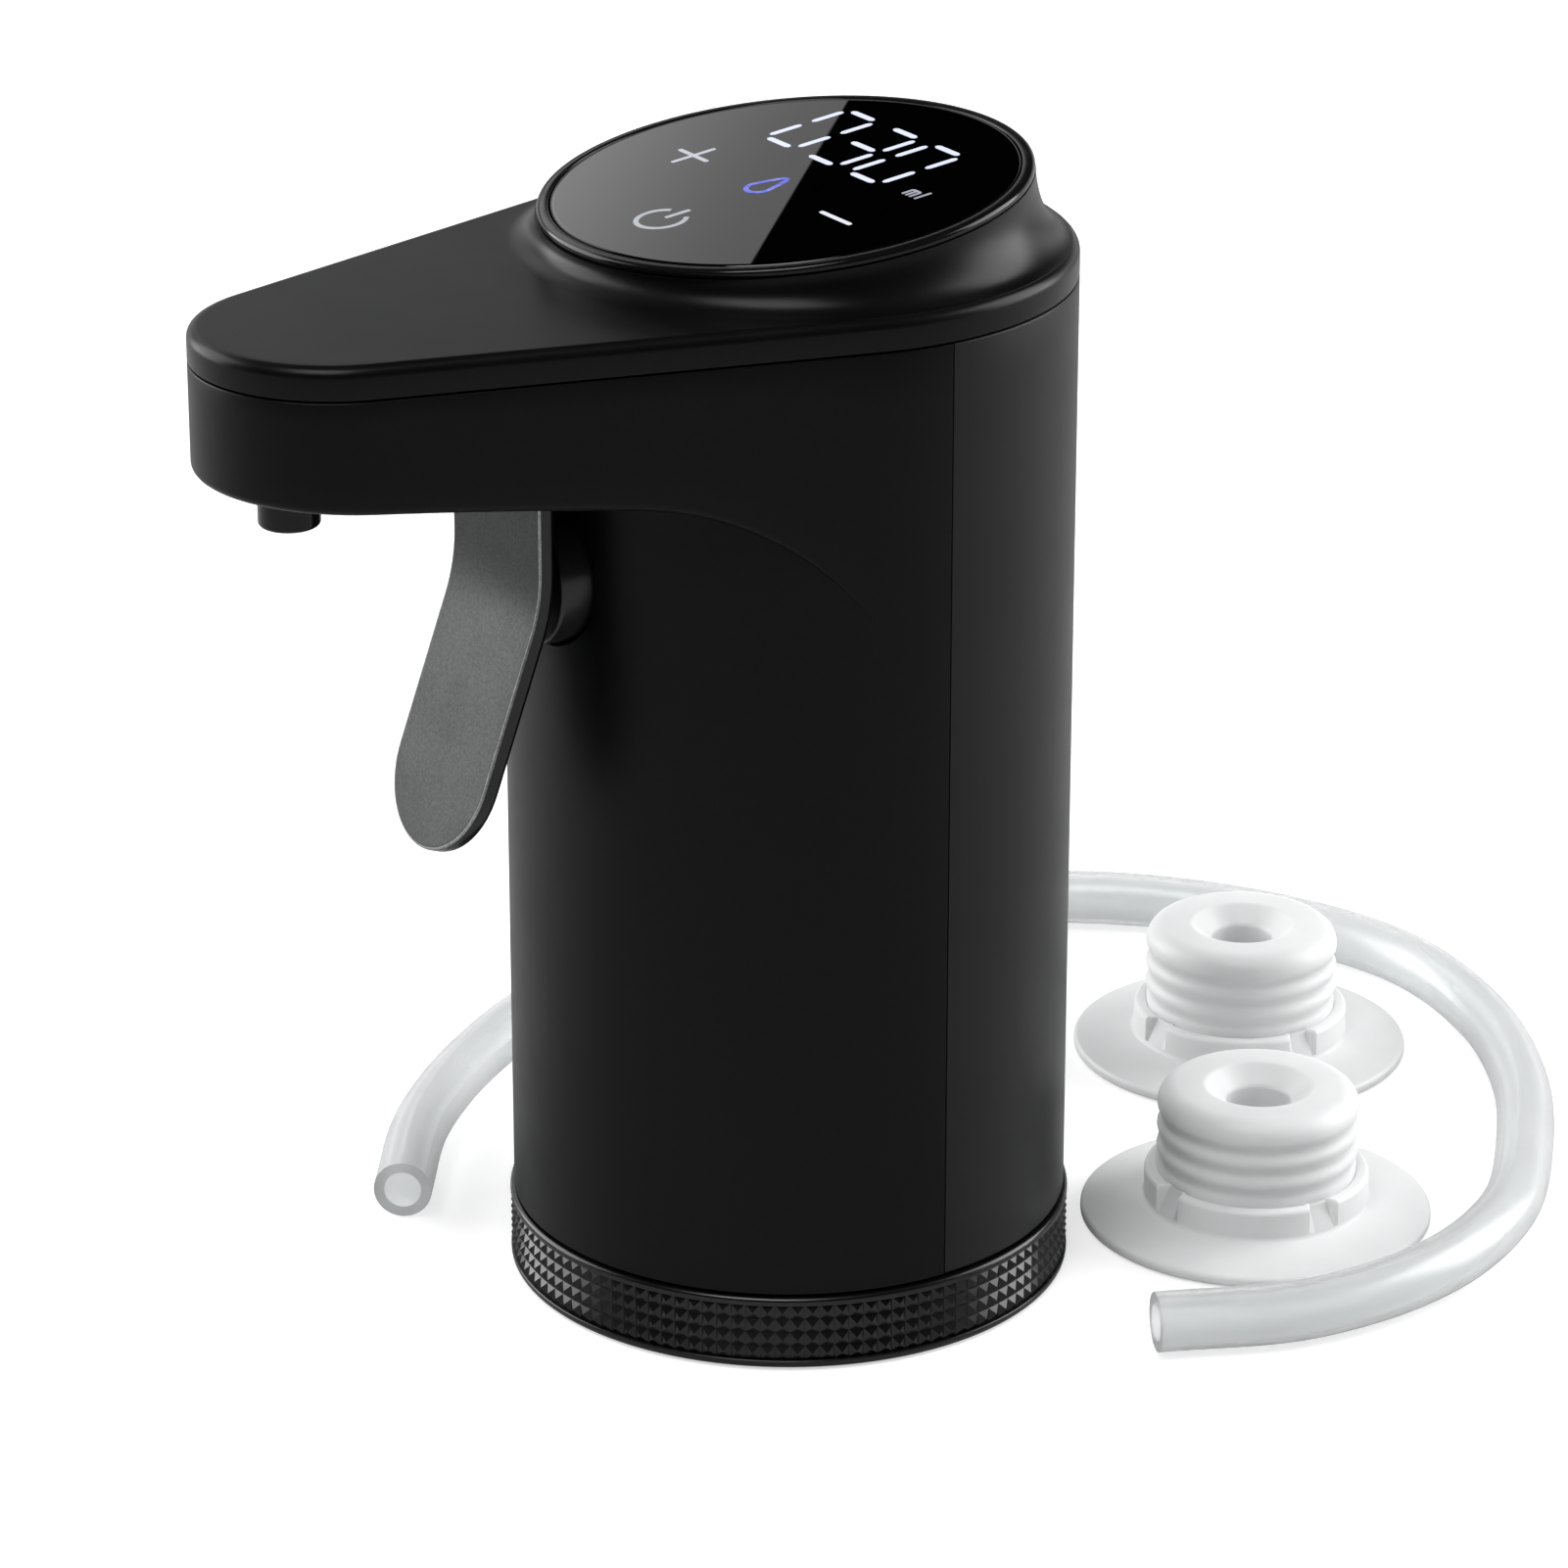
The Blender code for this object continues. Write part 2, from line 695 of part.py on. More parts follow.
def collar(name):
    """The flare from the cover's flat top to the tipped display: each ring leans by its share."""
    rings = [(COLLAR_R, COVER_Z + COVER_ROUND, 0.0), (COLLAR_R, COVER_TOP_Z, 0.0)]
    top = DISPLAY_Z - BEZEL_H - CLEAR
    count = COLLAR_STEPS
    for i in range(1, count + 1):
        turn = math.pi / 2 * i / count
        radius = BEZEL_R + (COLLAR_R - BEZEL_R) * (1 - math.sin(turn))
        share = 1 - math.cos(turn)
        rings.append((radius, COVER_TOP_Z + (top - COVER_TOP_Z) * share, share))
    form = bmesh.new()
    rows = []
    for radius, height, share in rings:
        row = []
        for x, y in arc((0, 0), radius, 0, 2 * math.pi, ROUND_STEPS)[:-1]:
            lean = y * math.tan(DISPLAY_TILT) * share
            row.append(form.verts.new((x, y - DISPLAY_Y * share, height + lean)))
        rows.append(row)
    form.faces.new(list(reversed(rows[0])))
    form.faces.new(rows[-1])
    for low, high in zip(rows, rows[1:]):
        for i in range(ROUND_STEPS):
            j = (i + 1) % ROUND_STEPS
            form.faces.new((low[i], low[j], high[j], high[i]))
    return placed_from(form, name, None)


def top_cover(display):
    """Lid over body and arm, with the collar that carries the display."""
    lid = rounded_plate("top_cover", teardrop(0), COVER_Z, COVER_TOP_Z, COVER_ROUND,
                        soft_touch_black())
    step = WALL + CLEAR
    lip = plate("cover_lip", teardrop(step), COVER_Z - COVER_LIP_H, COVER_Z + COVER_H / 2)
    lip_hollow = plate("cover_lip_hollow", teardrop(step + COVER_LIP_W),
                       COVER_Z - COVER_LIP_H - OVERRUN, COVER_Z)
    opening = turned("display_opening", disc(BEZEL_R - BEZEL_RIM - BEZEL_LEDGE,
                                             -BODY_R / 2, OVERRUN))
    opening.parent = display
    join(lid, collar("collar"), cut(lip, lip_hollow))
    return cut(lid, opening)


def display_frame():
    """Empty on the display's centre, tipped towards the arm."""
    empty = bpy.data.objects.new("display_frame", None)
    PARTS.objects.link(empty)
    empty.location = (0, -DISPLAY_Y, DISPLAY_Z)
    empty.rotation_euler = (DISPLAY_TILT, 0, 0)
    return empty


GLASS_R = BEZEL_R - BEZEL_RIM - CLEAR / 2
BOARD_R = BEZEL_R - BEZEL_RIM - BEZEL_LEDGE - BOARD_EDGE
LED_TOP = -GLASS_T - CLEAR
BOARD_TOP = LED_TOP - LED_H - CLEAR


def display_bezel():
    """Gloss ring with a ledge inside that carries the glass."""
    inner = BEZEL_R - BEZEL_RIM
    edge = BEZEL_RIM / 3
    ledge_top = -GLASS_T - CLEAR
    ledge_r = inner - BEZEL_LEDGE
    return turned("display_bezel", [
        (BEZEL_R - edge, 0), (BEZEL_R, -edge), (BEZEL_R, -BEZEL_H), (ledge_r, -BEZEL_H),
        (ledge_r, ledge_top), (inner, ledge_top), (inner, 0)], gloss_black(), ring=True)


def display_glass():
    edge = BEZEL_RIM / 4
    return turned("display_glass", [
        (0, 0), (GLASS_R - edge, 0), (GLASS_R, -edge), (GLASS_R, -GLASS_T), (0, -GLASS_T)],
        display_glass_black())


def led_display():
    """Three-digit segment display behind the glass."""
    return block("led_display", (-LED_W / 2, LED_Y - LED_D / 2, LED_TOP - LED_H),
                 (LED_W / 2, LED_Y + LED_D / 2, LED_TOP), inner_plastic())


def control_board():
    return turned("control_board", disc(BOARD_R, BOARD_TOP - BOARD_T, BOARD_TOP), board_green())


def touch_pad(name, shares):
    """Conductive pad that lifts the touch field up to the glass."""
    x, y = (share * GLASS_R for share in shares)
    return rod(name, TOUCH_R, (x, y, BOARD_TOP + CLEAR), (x, y, LED_TOP), black_rubber())


def display_parts(display):
    names = ("touch_pad_plus", "touch_pad_minus", "touch_pad_power")
    pads = [touch_pad(name, shares) for name, shares in zip(names, TOUCH_SHARES)]
    for piece in [display_bezel(), display_glass(), led_display(), control_board(), *pads]:
        piece.parent = display


def base_ring():
    """Knurled ring: a turned ring whose band of small squares is raised to pyramids."""
    floor = RING_R - KNURL_DEPTH
    top_band = RING_H - RING_BAND
    row = (top_band - RING_BAND) / KNURL_ROWS
    rows = [(floor, top_band - row * i) for i in range(KNURL_ROWS + 1)]
    upper = RING_H + RING_SPIGOT_H
    profile = [
        (CHASSIS_R, upper), (CHASSIS_R, RING_H), (RING_R - RING_CHAMFER, RING_H),
        (RING_R, RING_H - RING_CHAMFER), (RING_R, top_band), *rows,
        (RING_R, RING_BAND), (RING_R, RING_CHAMFER), (RING_R - RING_CHAMFER, 0),
        (SOCKET_R, 0), (SOCKET_R, upper)]
    form = bmesh.new()
    points = [form.verts.new((radius, 0, height)) for radius, height in profile]
    loop = [form.edges.new(pair) for pair in zip(points, [*points[1:], points[0]])]
    bmesh.ops.spin(form, geom=[*points, *loop], cent=(0, 0, 0), axis=(0, 0, 1),
                   angle=2 * math.pi, steps=KNURL_COLUMNS, use_merge=True)
    bmesh.ops.recalc_face_normals(form, faces=form.faces)
    squares = [f for f in form.faces if all(
        abs(math.hypot(v.co.x, v.co.y) - floor) < MERGE for v in f.verts)]
    bmesh.ops.poke(form, faces=squares, offset=KNURL_DEPTH)
    return placed_from(form, "base_ring", soft_touch_black())


def bottle_socket():
    """Cup that goes over the bottle's mouth. Its floor presses the stopper's flange."""
    low = RING_H + RING_SPIGOT_H + CLEAR
    outer = SOCKET_R + SOCKET_WALL
    top = SOCKET_DEPTH + SOCKET_FLOOR
    hole = SPIGOT_R + 2 * CLEAR
    return turned("bottle_socket", [
        (CHASSIS_R, top), (CHASSIS_R, SOCKET_DEPTH), (outer, SOCKET_DEPTH), (outer, low),
        (SOCKET_R, low), (SOCKET_R, SOCKET_DEPTH), (hole, SOCKET_DEPTH), (hole, top)],
        inner_plastic(), ring=True)


def base_gasket():
    """Flat ring that seals the twist joint between base ring and housing."""
    low = RING_H + RING_SPIGOT_H + CLEAR
    return turned("base_gasket", washer(CHASSIS_R, SOCKET_R + SOCKET_WALL + CLEAR, low,
                                        low + GASKET_H), black_rubber(), ring=True)


def stopper_profile():
    """Profile of a stopper that stands on its flange: hub, ribs, notched collar, thin flange."""
    collar_low = STOPPER_DISH + STOPPER_FLANGE_T
    collar_top = collar_low + STOPPER_COLLAR_H
    rib_zone = STOPPER_H - collar_top - 2 * STOPPER_RIB
    pitch = rib_zone / (STOPPER_RIBS + 1)
    taper = STOPPER_RIB / 2
    ribs = []
    for i in range(STOPPER_RIBS):
        crest = STOPPER_H - 2 * STOPPER_RIB - pitch * (i + 0.5)
        radius = STOPPER_HUB_R - taper * (STOPPER_RIBS - 1 - i) / STOPPER_RIBS
        ribs += [(radius, crest), (radius - STOPPER_RIB, crest - pitch / 2)]
    flange_edge = STOPPER_FLANGE_R
    return [
        (STOPPER_CUP_R, STOPPER_H), (STOPPER_HUB_R - 3 * STOPPER_RIB, STOPPER_H),
        (STOPPER_HUB_R - 2 * STOPPER_RIB, STOPPER_H - STOPPER_RIB), *ribs,
        (STOPPER_HUB_R - STOPPER_RIB, collar_top), (STOPPER_COLLAR_R, collar_top),
        (STOPPER_COLLAR_R, collar_low), (flange_edge, STOPPER_FLANGE_T), (flange_edge, 0),
        (flange_edge - STOPPER_FLANGE_T, 0), (STOPPER_COLLAR_R, STOPPER_DISH),
        (STOPPER_BORE_R, STOPPER_DISH), (STOPPER_BORE_R, STOPPER_H - STOPPER_CUP_R / 3),
        (STOPPER_CUP_R, STOPPER_H - STOPPER_CUP_R / 3)]


def stopper_notches(name):
    """Four small blocks around the collar's rim."""
    low = STOPPER_DISH + STOPPER_FLANGE_T + STOPPER_COLLAR_H / 3
    high = low + STOPPER_COLLAR_H
    depth = 2 * NOTCH_D
    form = bmesh.new()
    for i in range(NOTCHES):
        turn = Matrix.Rotation(2 * math.pi * i / NOTCHES, 4, "Z")
        spot = Matrix.Translation((STOPPER_COLLAR_R, 0, (low + high) / 2))
        size = Matrix.Diagonal((depth, NOTCH_W, high - low, 1))
        bmesh.ops.create_cube(form, size=1, matrix=turn @ spot @ size)
    return placed_from(form, name, None)


def stopper(name, location, upside_down=False):
    """Silicone stopper. The fitted one hangs with its flange up."""
    obj = turned(name, stopper_profile(), natural_silicone(), steps=2 * SMALL_STEPS, ring=True)
    notches = stopper_notches(name + "_notches")
    notches.parent = obj
    obj.location = location
    if upside_down:
        obj.rotation_euler = (math.pi, 0, 0)
    return cut(obj, notches)


def stoppers():
    stopper("bottle_stopper", (0, 0, SOCKET_DEPTH - CLEAR), upside_down=True)
    for i, (x, y) in enumerate(SPARE_PLACES):
        stopper(f"spare_stopper_{i + 1}", (x, y, 0))


def pump_chassis():
    """Round deck above the socket. It carries the manifold, the frame and the air nipple."""
    deck = turned("pump_chassis", disc(CHASSIS_R, CHASSIS_Z, CHASSIS_TOP_Z), inner_plastic())
    middle = rod("chassis_hole", SPIGOT_R + 2 * CLEAR, (0, 0, CHASSIS_Z - OVERRUN),
                 (0, 0, CHASSIS_TOP_Z + OVERRUN))
    nipple = rod("air_nipple", PORT_R, (AIR_NIPPLE_X, AIR_NIPPLE_Y, CHASSIS_Z + CHASSIS_T / 2),
                 (AIR_NIPPLE_X, AIR_NIPPLE_Y, CHASSIS_TOP_Z + AIR_NIPPLE_H))
    screw_holes = [
        rod(f"chassis_screw_hole_{i}", SCREW_R + CLEAR, (x, frame_foot_y(), CHASSIS_Z - OVERRUN),
            (x, frame_foot_y(), CHASSIS_TOP_Z + OVERRUN))
        for i, x in enumerate((-FOOT_X, FOOT_X))]
    join(deck, nipple)
    return cut(deck, middle, *screw_holes)


def frame_foot_y():
    return FRAME_Y + FRAME_T + FOOT_D / 2


def middle_frame():
    """Upright plate between pump and cell, with feet, a switch shelf and a board shelf."""
    half = FRAME_W / 2
    upright = block("middle_frame", (-half, FRAME_Y, DECK_Z),
                    (half, FRAME_Y + FRAME_T, FRAME_TOP_Z + SHELF_T), inner_plastic())
    inside = FRAME_Y + FRAME_T / 2
    switch_shelf = block("switch_shelf",
                         (-SHELF_W / 2, -MOTOR_Y - MOTOR_R + 2 * FRAME_T, switch_z() - CLEAR - SHELF_T),
                         (SHELF_W / 2, inside, switch_z() - CLEAR))
    board_shelf = block("board_shelf", (-CHARGE_BOARD_W / 2, inside, FRAME_TOP_Z),
                        (CHARGE_BOARD_W / 2, FRAME_Y + CHARGE_BOARD_D, FRAME_TOP_Z + SHELF_T))
    feet = []
    tools = []
    for i, x in enumerate((-FOOT_X, FOOT_X)):
        feet.append(block(f"frame_foot_{i}", (x - FOOT_W / 2, inside, DECK_Z),
                          (x + FOOT_W / 2, inside + FOOT_D, DECK_Z + FOOT_T)))
        tools.append(rod(f"foot_hole_{i}", SCREW_R + CLEAR, (x, frame_foot_y(), DECK_Z - OVERRUN),
                         (x, frame_foot_y(), DECK_Z + FOOT_T + OVERRUN)))
    gap = MANIFOLD_R + 2 * CLEAR
    tools.append(block("frame_notch", (-gap, 0, DECK_Z - OVERRUN),
                       (gap, FRAME_Y + FRAME_T / 2 + OVERRUN, DECK_Z + MANIFOLD_H + CLEAR)))
    join(upright, switch_shelf, board_shelf, *feet)
    return cut(upright, *tools)


def frame_screw(name, x):
    """Pan-head screw through a foot of the middle frame into the deck."""
    head_z = DECK_Z + FOOT_T + CLEAR
    screw = turned(name, [
        (0, head_z + SCREW_HEAD_H), (SCREW_HEAD_R - CLEAR, head_z + SCREW_HEAD_H),
        (SCREW_HEAD_R, head_z + SCREW_HEAD_H - CLEAR), (SCREW_HEAD_R, head_z),
        (SCREW_R, head_z), (SCREW_R, CHASSIS_Z + CLEAR), (0, CHASSIS_Z + CLEAR)],
        bright_steel(), steps=SMALL_STEPS)
    screw.location = (x, frame_foot_y(), 0)
    slot = block(name + "_slot", (-SCREW_HEAD_R - CLEAR, -SCREW_SLOT_W / 2, head_z + SCREW_HEAD_H / 2),
                 (SCREW_HEAD_R + CLEAR, SCREW_SLOT_W / 2, head_z + 2 * SCREW_HEAD_H))
    slot.parent = screw
    return cut(screw, slot)


def hose_start():
    return (-HOSE_SIDE, -HOSE_BACK, DECK_Z + MANIFOLD_H + CLEAR)


def manifold():
    """Wine inlet: a spigot down into the stopper and a side arm up to the hose."""
    top = DECK_Z + MANIFOLD_H
    spigot = rod("manifold", SPIGOT_R, (0, 0, SPIGOT_TIP_Z), (0, 0, DECK_Z + MANIFOLD_H / 2),
                 inner_plastic())
    hub = rod("manifold_hub", MANIFOLD_R, (0, 0, DECK_Z), (0, 0, top))
    x, y, z = hose_start()
    bar = block("manifold_bar", (x - SPIGOT_R, y - SPIGOT_R, DECK_Z), (0, y + SPIGOT_R, top))
    barb = rod("manifold_barb", BARB_R, (x, y, DECK_Z + MANIFOLD_H / 2), (x, y, z + BARB_L))
    level = DECK_Z + MANIFOLD_H / 2
    rise = rod("manifold_rise", SPIGOT_BORE_R, (0, 0, SPIGOT_TIP_Z - OVERRUN), (0, 0, level))
    cross = rod("manifold_cross", BARB_BORE_R, (x, y, level), (0, 0, level))
    outlet = rod("manifold_outlet", BARB_BORE_R, (x, y, level - BARB_BORE_R),
                 (x, y, z + BARB_L + OVERRUN))
    join(spigot, hub, bar, barb)
    return cut(spigot, rise, cross, outlet)


def pump_motor():
    """Motor can with the bore that its shaft turns in."""
    can = turned("pump_motor", [
        (0, MOTOR_Z + MOTOR_L), (MOTOR_R - CLEAR, MOTOR_Z + MOTOR_L),
        (MOTOR_R, MOTOR_Z + MOTOR_L - CLEAR), (MOTOR_R, MOTOR_Z), (0, MOTOR_Z)],
        bright_steel(), steps=2 * SMALL_STEPS)
    can.location = (0, -MOTOR_Y, 0)
    bore = turned("motor_bore", disc(SHAFT_R + SHAFT_GAP, MOTOR_Z - OVERRUN,
                                     MOTOR_Z + MOTOR_L - MOTOR_FRONT_T), steps=SMALL_STEPS)
    bore.parent = can
    return cut(can, bore)


def pump_shaft():
    """Motor shaft with the eccentric on its lower end. Its parent is on the shaft's axis."""
    axis = bpy.data.objects.new("shaft_axis", None)
    PARTS.objects.link(axis)
    axis.location = (0, -MOTOR_Y, 0)
    low = MOTOR_Z - PUMP_WALL - CLEAR - ECCENTRIC_H
    shaft = rod("motor_shaft", SHAFT_R, (0, 0, low + ECCENTRIC_H + CLEAR / 2),
                (0, 0, MOTOR_Z + MOTOR_L - MOTOR_FRONT_T - CLEAR), bright_steel())
    wheel = rod("pump_eccentric", ECCENTRIC_R, (ECCENTRIC_OFFSET, 0, low),
                (ECCENTRIC_OFFSET, 0, low + ECCENTRIC_H), inner_plastic())
    for piece in (shaft, wheel):
        piece.parent = axis
    return low


def pump_housing():
    """Cup under the motor that holds the eccentric and the diaphragm."""
    top = PUMP_Z + PUMP_H
    inner = PUMP_R - PUMP_WALL
    hole = SHAFT_R + SHAFT_GAP
    cup = turned("pump_housing", [
        (PUMP_R, top), (PUMP_R, PUMP_Z), (inner, PUMP_Z), (inner, top - PUMP_WALL),
        (hole, top - PUMP_WALL), (hole, top)], inner_plastic(), steps=2 * SMALL_STEPS, ring=True)
    cup.location = (0, -MOTOR_Y, 0)
    port = rod("pump_port", PORT_R, (PUMP_R - PUMP_WALL / 2, 0, air_port_z()),
               (PUMP_R + PORT_L, 0, air_port_z()))
    port.parent = cup
    return join(cup, port)


def air_port_z():
    return PUMP_Z + PUMP_H / 2


def pump_diaphragm():
    """Rubber diaphragm with the button that the eccentric rocks."""
    low = PUMP_Z + PUMP_WALL + CLEAR
    wheel_low = MOTOR_Z - PUMP_WALL - CLEAR - ECCENTRIC_H
    skin = turned("pump_diaphragm", [
        (0, wheel_low - CLEAR), (DIAPHRAGM_BUTTON_R, wheel_low - CLEAR),
        (DIAPHRAGM_BUTTON_R, low + DIAPHRAGM_T), (DIAPHRAGM_R, low + DIAPHRAGM_T),
        (DIAPHRAGM_R, low), (0, low)], black_rubber(), steps=2 * SMALL_STEPS)
    skin.location = (0, -MOTOR_Y, 0)
    return skin


def pump_valve_plate():
    plate_top = PUMP_Z + PUMP_WALL
    disc_part = turned("pump_valve_plate", disc(PUMP_R - PUMP_WALL - CLEAR, PUMP_Z, plate_top),
                       inner_plastic(), steps=2 * SMALL_STEPS)
    disc_part.location = (0, -MOTOR_Y, 0)
    return disc_part


def air_hose():
    """Short hose from the pump's port down to the nipple in the deck."""
    start = Vector((PUMP_R + PORT_L + CLEAR, -MOTOR_Y, air_port_z()))
    end = Vector((AIR_NIPPLE_X, AIR_NIPPLE_Y, CHASSIS_TOP_Z + AIR_NIPPLE_H + CLEAR))
    reach = end.x - start.x
    drop = Vector((0, 0, 2 * AIR_HOSE_R))
    route = [start, start + Vector((reach / 2, 0, -reach / 8)),
             Vector((end.x, (start.y + end.y) / 2, (start.z + end.z) / 2)), end + drop, end]
    return tube("air_hose", smooth_route(route, AIR_HOSE_R), AIR_HOSE_R, natural_silicone())


def beside_arm_wall(y):
    """Where the hose runs at a distance in front of the axis, just inside the arm's left wall."""
    wall_x = (BODY_R - y * math.sin(ARM_LEAN)) / math.cos(ARM_LEAN)
    inset = (WALL + HOSE_R + 2 * CLEAR) / math.cos(ARM_LEAN)
    return (inset - wall_x, -y, elbow_level())


def elbow_point(distance):
    """A point on the elbow's side arm, at a distance from the nozzle's axis."""
    way = Vector((-math.sin(ELBOW_TURN), math.cos(ELBOW_TURN), 0))
    return Vector((0, -NOZZLE_Y, elbow_level())) + way * distance


def wine_hose():
    """Hose from the manifold up the body's side and along the arm to the elbow."""
    x, y, z = hose_start()
    end_z = elbow_level()
    route = [
        (x, y, z), (x, y, (z + end_z) / 2), (x, y, end_z - 6 * HOSE_R),
        (x, -BODY_R / 3, end_z - HOSE_R), beside_arm_wall(BODY_R), beside_arm_wall(PIVOT_Y + EAR_W),
        elbow_point(ELBOW_R + BARB_L + HOSE_R), elbow_point(ELBOW_R + CLEAR)]
    return hollow_tube("wine_hose", smooth_route(route, HOSE_POINT_STEP), HOSE_R, HOSE_BORE_R,
                       natural_silicone())


def elbow_level():
    """Height of the hose's centre in the arm."""
    return ARM_FLOOR_Z + NOZZLE_FLANGE_T + 2 * CLEAR + ELBOW_H / 2


def nozzle():
    """Gloss ring under the arm's tip, held by its flange on the arm's floor."""
    floor = ARM_FLOOR_Z + CLEAR
    low = under_z(NOZZLE_Y) - NOZZLE_DROP
    edge = CLEAR
    tip = turned("nozzle", [
        (NOZZLE_FLANGE_R, floor + NOZZLE_FLANGE_T), (NOZZLE_FLANGE_R, floor), (NOZZLE_R, floor),
        (NOZZLE_R, low + edge), (NOZZLE_R - edge, low), (NOZZLE_BORE_R + edge, low),
        (NOZZLE_BORE_R, low + edge), (NOZZLE_BORE_R, floor + NOZZLE_FLANGE_T)],
        gloss_black(), steps=2 * SMALL_STEPS, ring=True)
    tip.location = (0, -NOZZLE_Y, 0)
    return tip


def nozzle_elbow():
    """Fitting that turns the wine down into the nozzle."""
    low = ARM_FLOOR_Z + NOZZLE_FLANGE_T + 2 * CLEAR
    level = elbow_level()
    body = rod("nozzle_elbow", ELBOW_R, (0, -NOZZLE_Y, low), (0, -NOZZLE_Y, low + ELBOW_H),
               inner_plastic())
    barb_end = ELBOW_R + BARB_L
    barb = rod("elbow_barb", BARB_R, elbow_point(0), elbow_point(barb_end))
    drop = rod("elbow_drop", BARB_BORE_R, (0, -NOZZLE_Y, low - OVERRUN), (0, -NOZZLE_Y, level))
    feed = rod("elbow_feed", BARB_BORE_R, elbow_point(-BARB_BORE_R), elbow_point(barb_end + OVERRUN))
    join(body, barb)
    return cut(body, drop, feed)


def lever_path(distance):
    """Place (Y, Z) and slope of the lever's middle plane at a distance from its top."""
    top = PIVOT_Z
    straight = top - LEVER_BEND_Z - LEVER_BEND_R * math.tan(LEVER_SPLAY / 2)
    bend = LEVER_BEND_R * LEVER_SPLAY
    if distance <= straight:
        return -PIVOT_Y, top - distance, 0.0
    turn = min((distance - straight) / LEVER_BEND_R, LEVER_SPLAY)
    y = -PIVOT_Y - LEVER_BEND_R * (1 - math.cos(turn))
    z = top - straight - LEVER_BEND_R * math.sin(turn)
    rest = max(0.0, distance - straight - bend)
    return y - rest * math.sin(turn), z - rest * math.cos(turn), turn


def lever_length():
    """Length of the middle plane from the pivot to the rounded end."""
    straight = PIVOT_Z - LEVER_BEND_Z - LEVER_BEND_R * math.tan(LEVER_SPLAY / 2)
    bend_z = PIVOT_Z - straight - LEVER_BEND_R * math.sin(LEVER_SPLAY)
    rest = (bend_z - LEVER_BOTTOM_Z) / math.cos(LEVER_SPLAY)
    return straight + LEVER_BEND_R * LEVER_SPLAY + rest


def lever_blade(name, paint):
    """Flat strip with a round end and eased edges, sliced across and then bent along its path."""
    half = LEVER_W / 2
    length = lever_length()
    end = arc((0, length - half), half, 0, math.pi, LEVER_END_STEPS)
    outline = [(half, 0), *end, (-half, 0)]
    obj = plate(name, outline, -LEVER_T / 2, LEVER_T / 2, paint)
    obj.matrix_world = Matrix.Identity(4)
    form = bmesh.new()
    form.from_mesh(obj.data)
    for i in range(1, LEVER_STATIONS):
        bmesh.ops.bisect_plane(
            form, geom=[*form.verts, *form.edges, *form.faces], dist=MERGE,
            plane_co=(0, (length - half) * i / LEVER_STATIONS, 0), plane_no=(0, 1, 0))
    for vert in form.verts:
        y, z, turn = lever_path(vert.co.y)
        forward = vert.co.z
        vert.co = (-vert.co.x, y - forward * math.cos(turn), z + forward * math.sin(turn))
    bmesh.ops.recalc_face_normals(form, faces=form.faces)
    form.to_mesh(obj.data)
    form.free()
    smooth(obj.data)
    return obj


def trigger_lever():
    """Bent lever on the pivot pin. Its parent is on the pin's axis."""
    lever = lever_blade("trigger_lever", graphite_paint())
    side = LEVER_W / 2
    hub = rod("lever_hub", HUB_R, (-side, -PIVOT_Y, PIVOT_Z), (side, -PIVOT_Y, PIVOT_Z))
    bore = rod("lever_bore", PIN_R + CLEAR, (-side - OVERRUN, -PIVOT_Y, PIVOT_Z),
               (side + OVERRUN, -PIVOT_Y, PIVOT_Z))
    join(lever, hub)
    cut(lever, bore)
    axis = bpy.data.objects.new("lever_axis", None)
    PARTS.objects.link(axis)
    axis.location = (0, -PIVOT_Y, PIVOT_Z)
    lever.parent = axis
    lever.matrix_parent_inverse = Matrix.Translation(axis.location).inverted()
    return lever


def pivot_pin():
    return rod("pivot_pin", PIN_R, (-PIN_LEFT, -PIVOT_Y, PIVOT_Z), (PIN_RIGHT, -PIVOT_Y, PIVOT_Z),
               bright_steel())


def return_spring():
    """Coil around the pin's right end, outside the ear."""
    start = LEVER_W / 2 + 2 * CLEAR + EAR_T + SPRING_WIRE_R + CLEAR
    count = SPRING_TURNS * SPRING_TURN_POINTS
    route = []
    for i in range(count + 1):
        turn = 2 * math.pi * i / SPRING_TURN_POINTS
        route.append((start + SPRING_PITCH * i / SPRING_TURN_POINTS,
                      -PIVOT_Y + SPRING_COIL_R * math.cos(turn),
                      PIVOT_Z + SPRING_COIL_R * math.sin(turn)))
    return tube("return_spring", route, SPRING_WIRE_R, bright_steel(), roundness=1)


def plunger_face_y():
    """Distance from the axis to the tip of the plunger's dome."""
    return LEVER_BACK_Y - CLEAR


def trigger_plunger():
    """Round button between lever and body: a domed cap and a stem to the switch."""
    face = plunger_face_y()
    sag = PLUNGER_DOME_R - math.sqrt(PLUNGER_DOME_R ** 2 - PLUNGER_R ** 2)
    dome = []
    for i in range(1, DOME_STEPS + 1):
        radius = PLUNGER_R * i / DOME_STEPS
        drop = PLUNGER_DOME_R - math.sqrt(PLUNGER_DOME_R ** 2 - radius ** 2)
        dome.append((radius, -drop))
    profile = [(0, 0), *dome, (PLUNGER_R, -sag - PLUNGER_L), (PLUNGER_STEM_R, -sag - PLUNGER_L),
               (PLUNGER_STEM_R, -sag - PLUNGER_L - PLUNGER_STEM_L),
               (0, -sag - PLUNGER_L - PLUNGER_STEM_L)]
    button = turned("trigger_plunger", profile, gloss_black(), steps=2 * SMALL_STEPS)
    button.location = (0, -face, PLUNGER_Z)
    button.rotation_euler = (math.pi / 2, 0, 0)
    return button


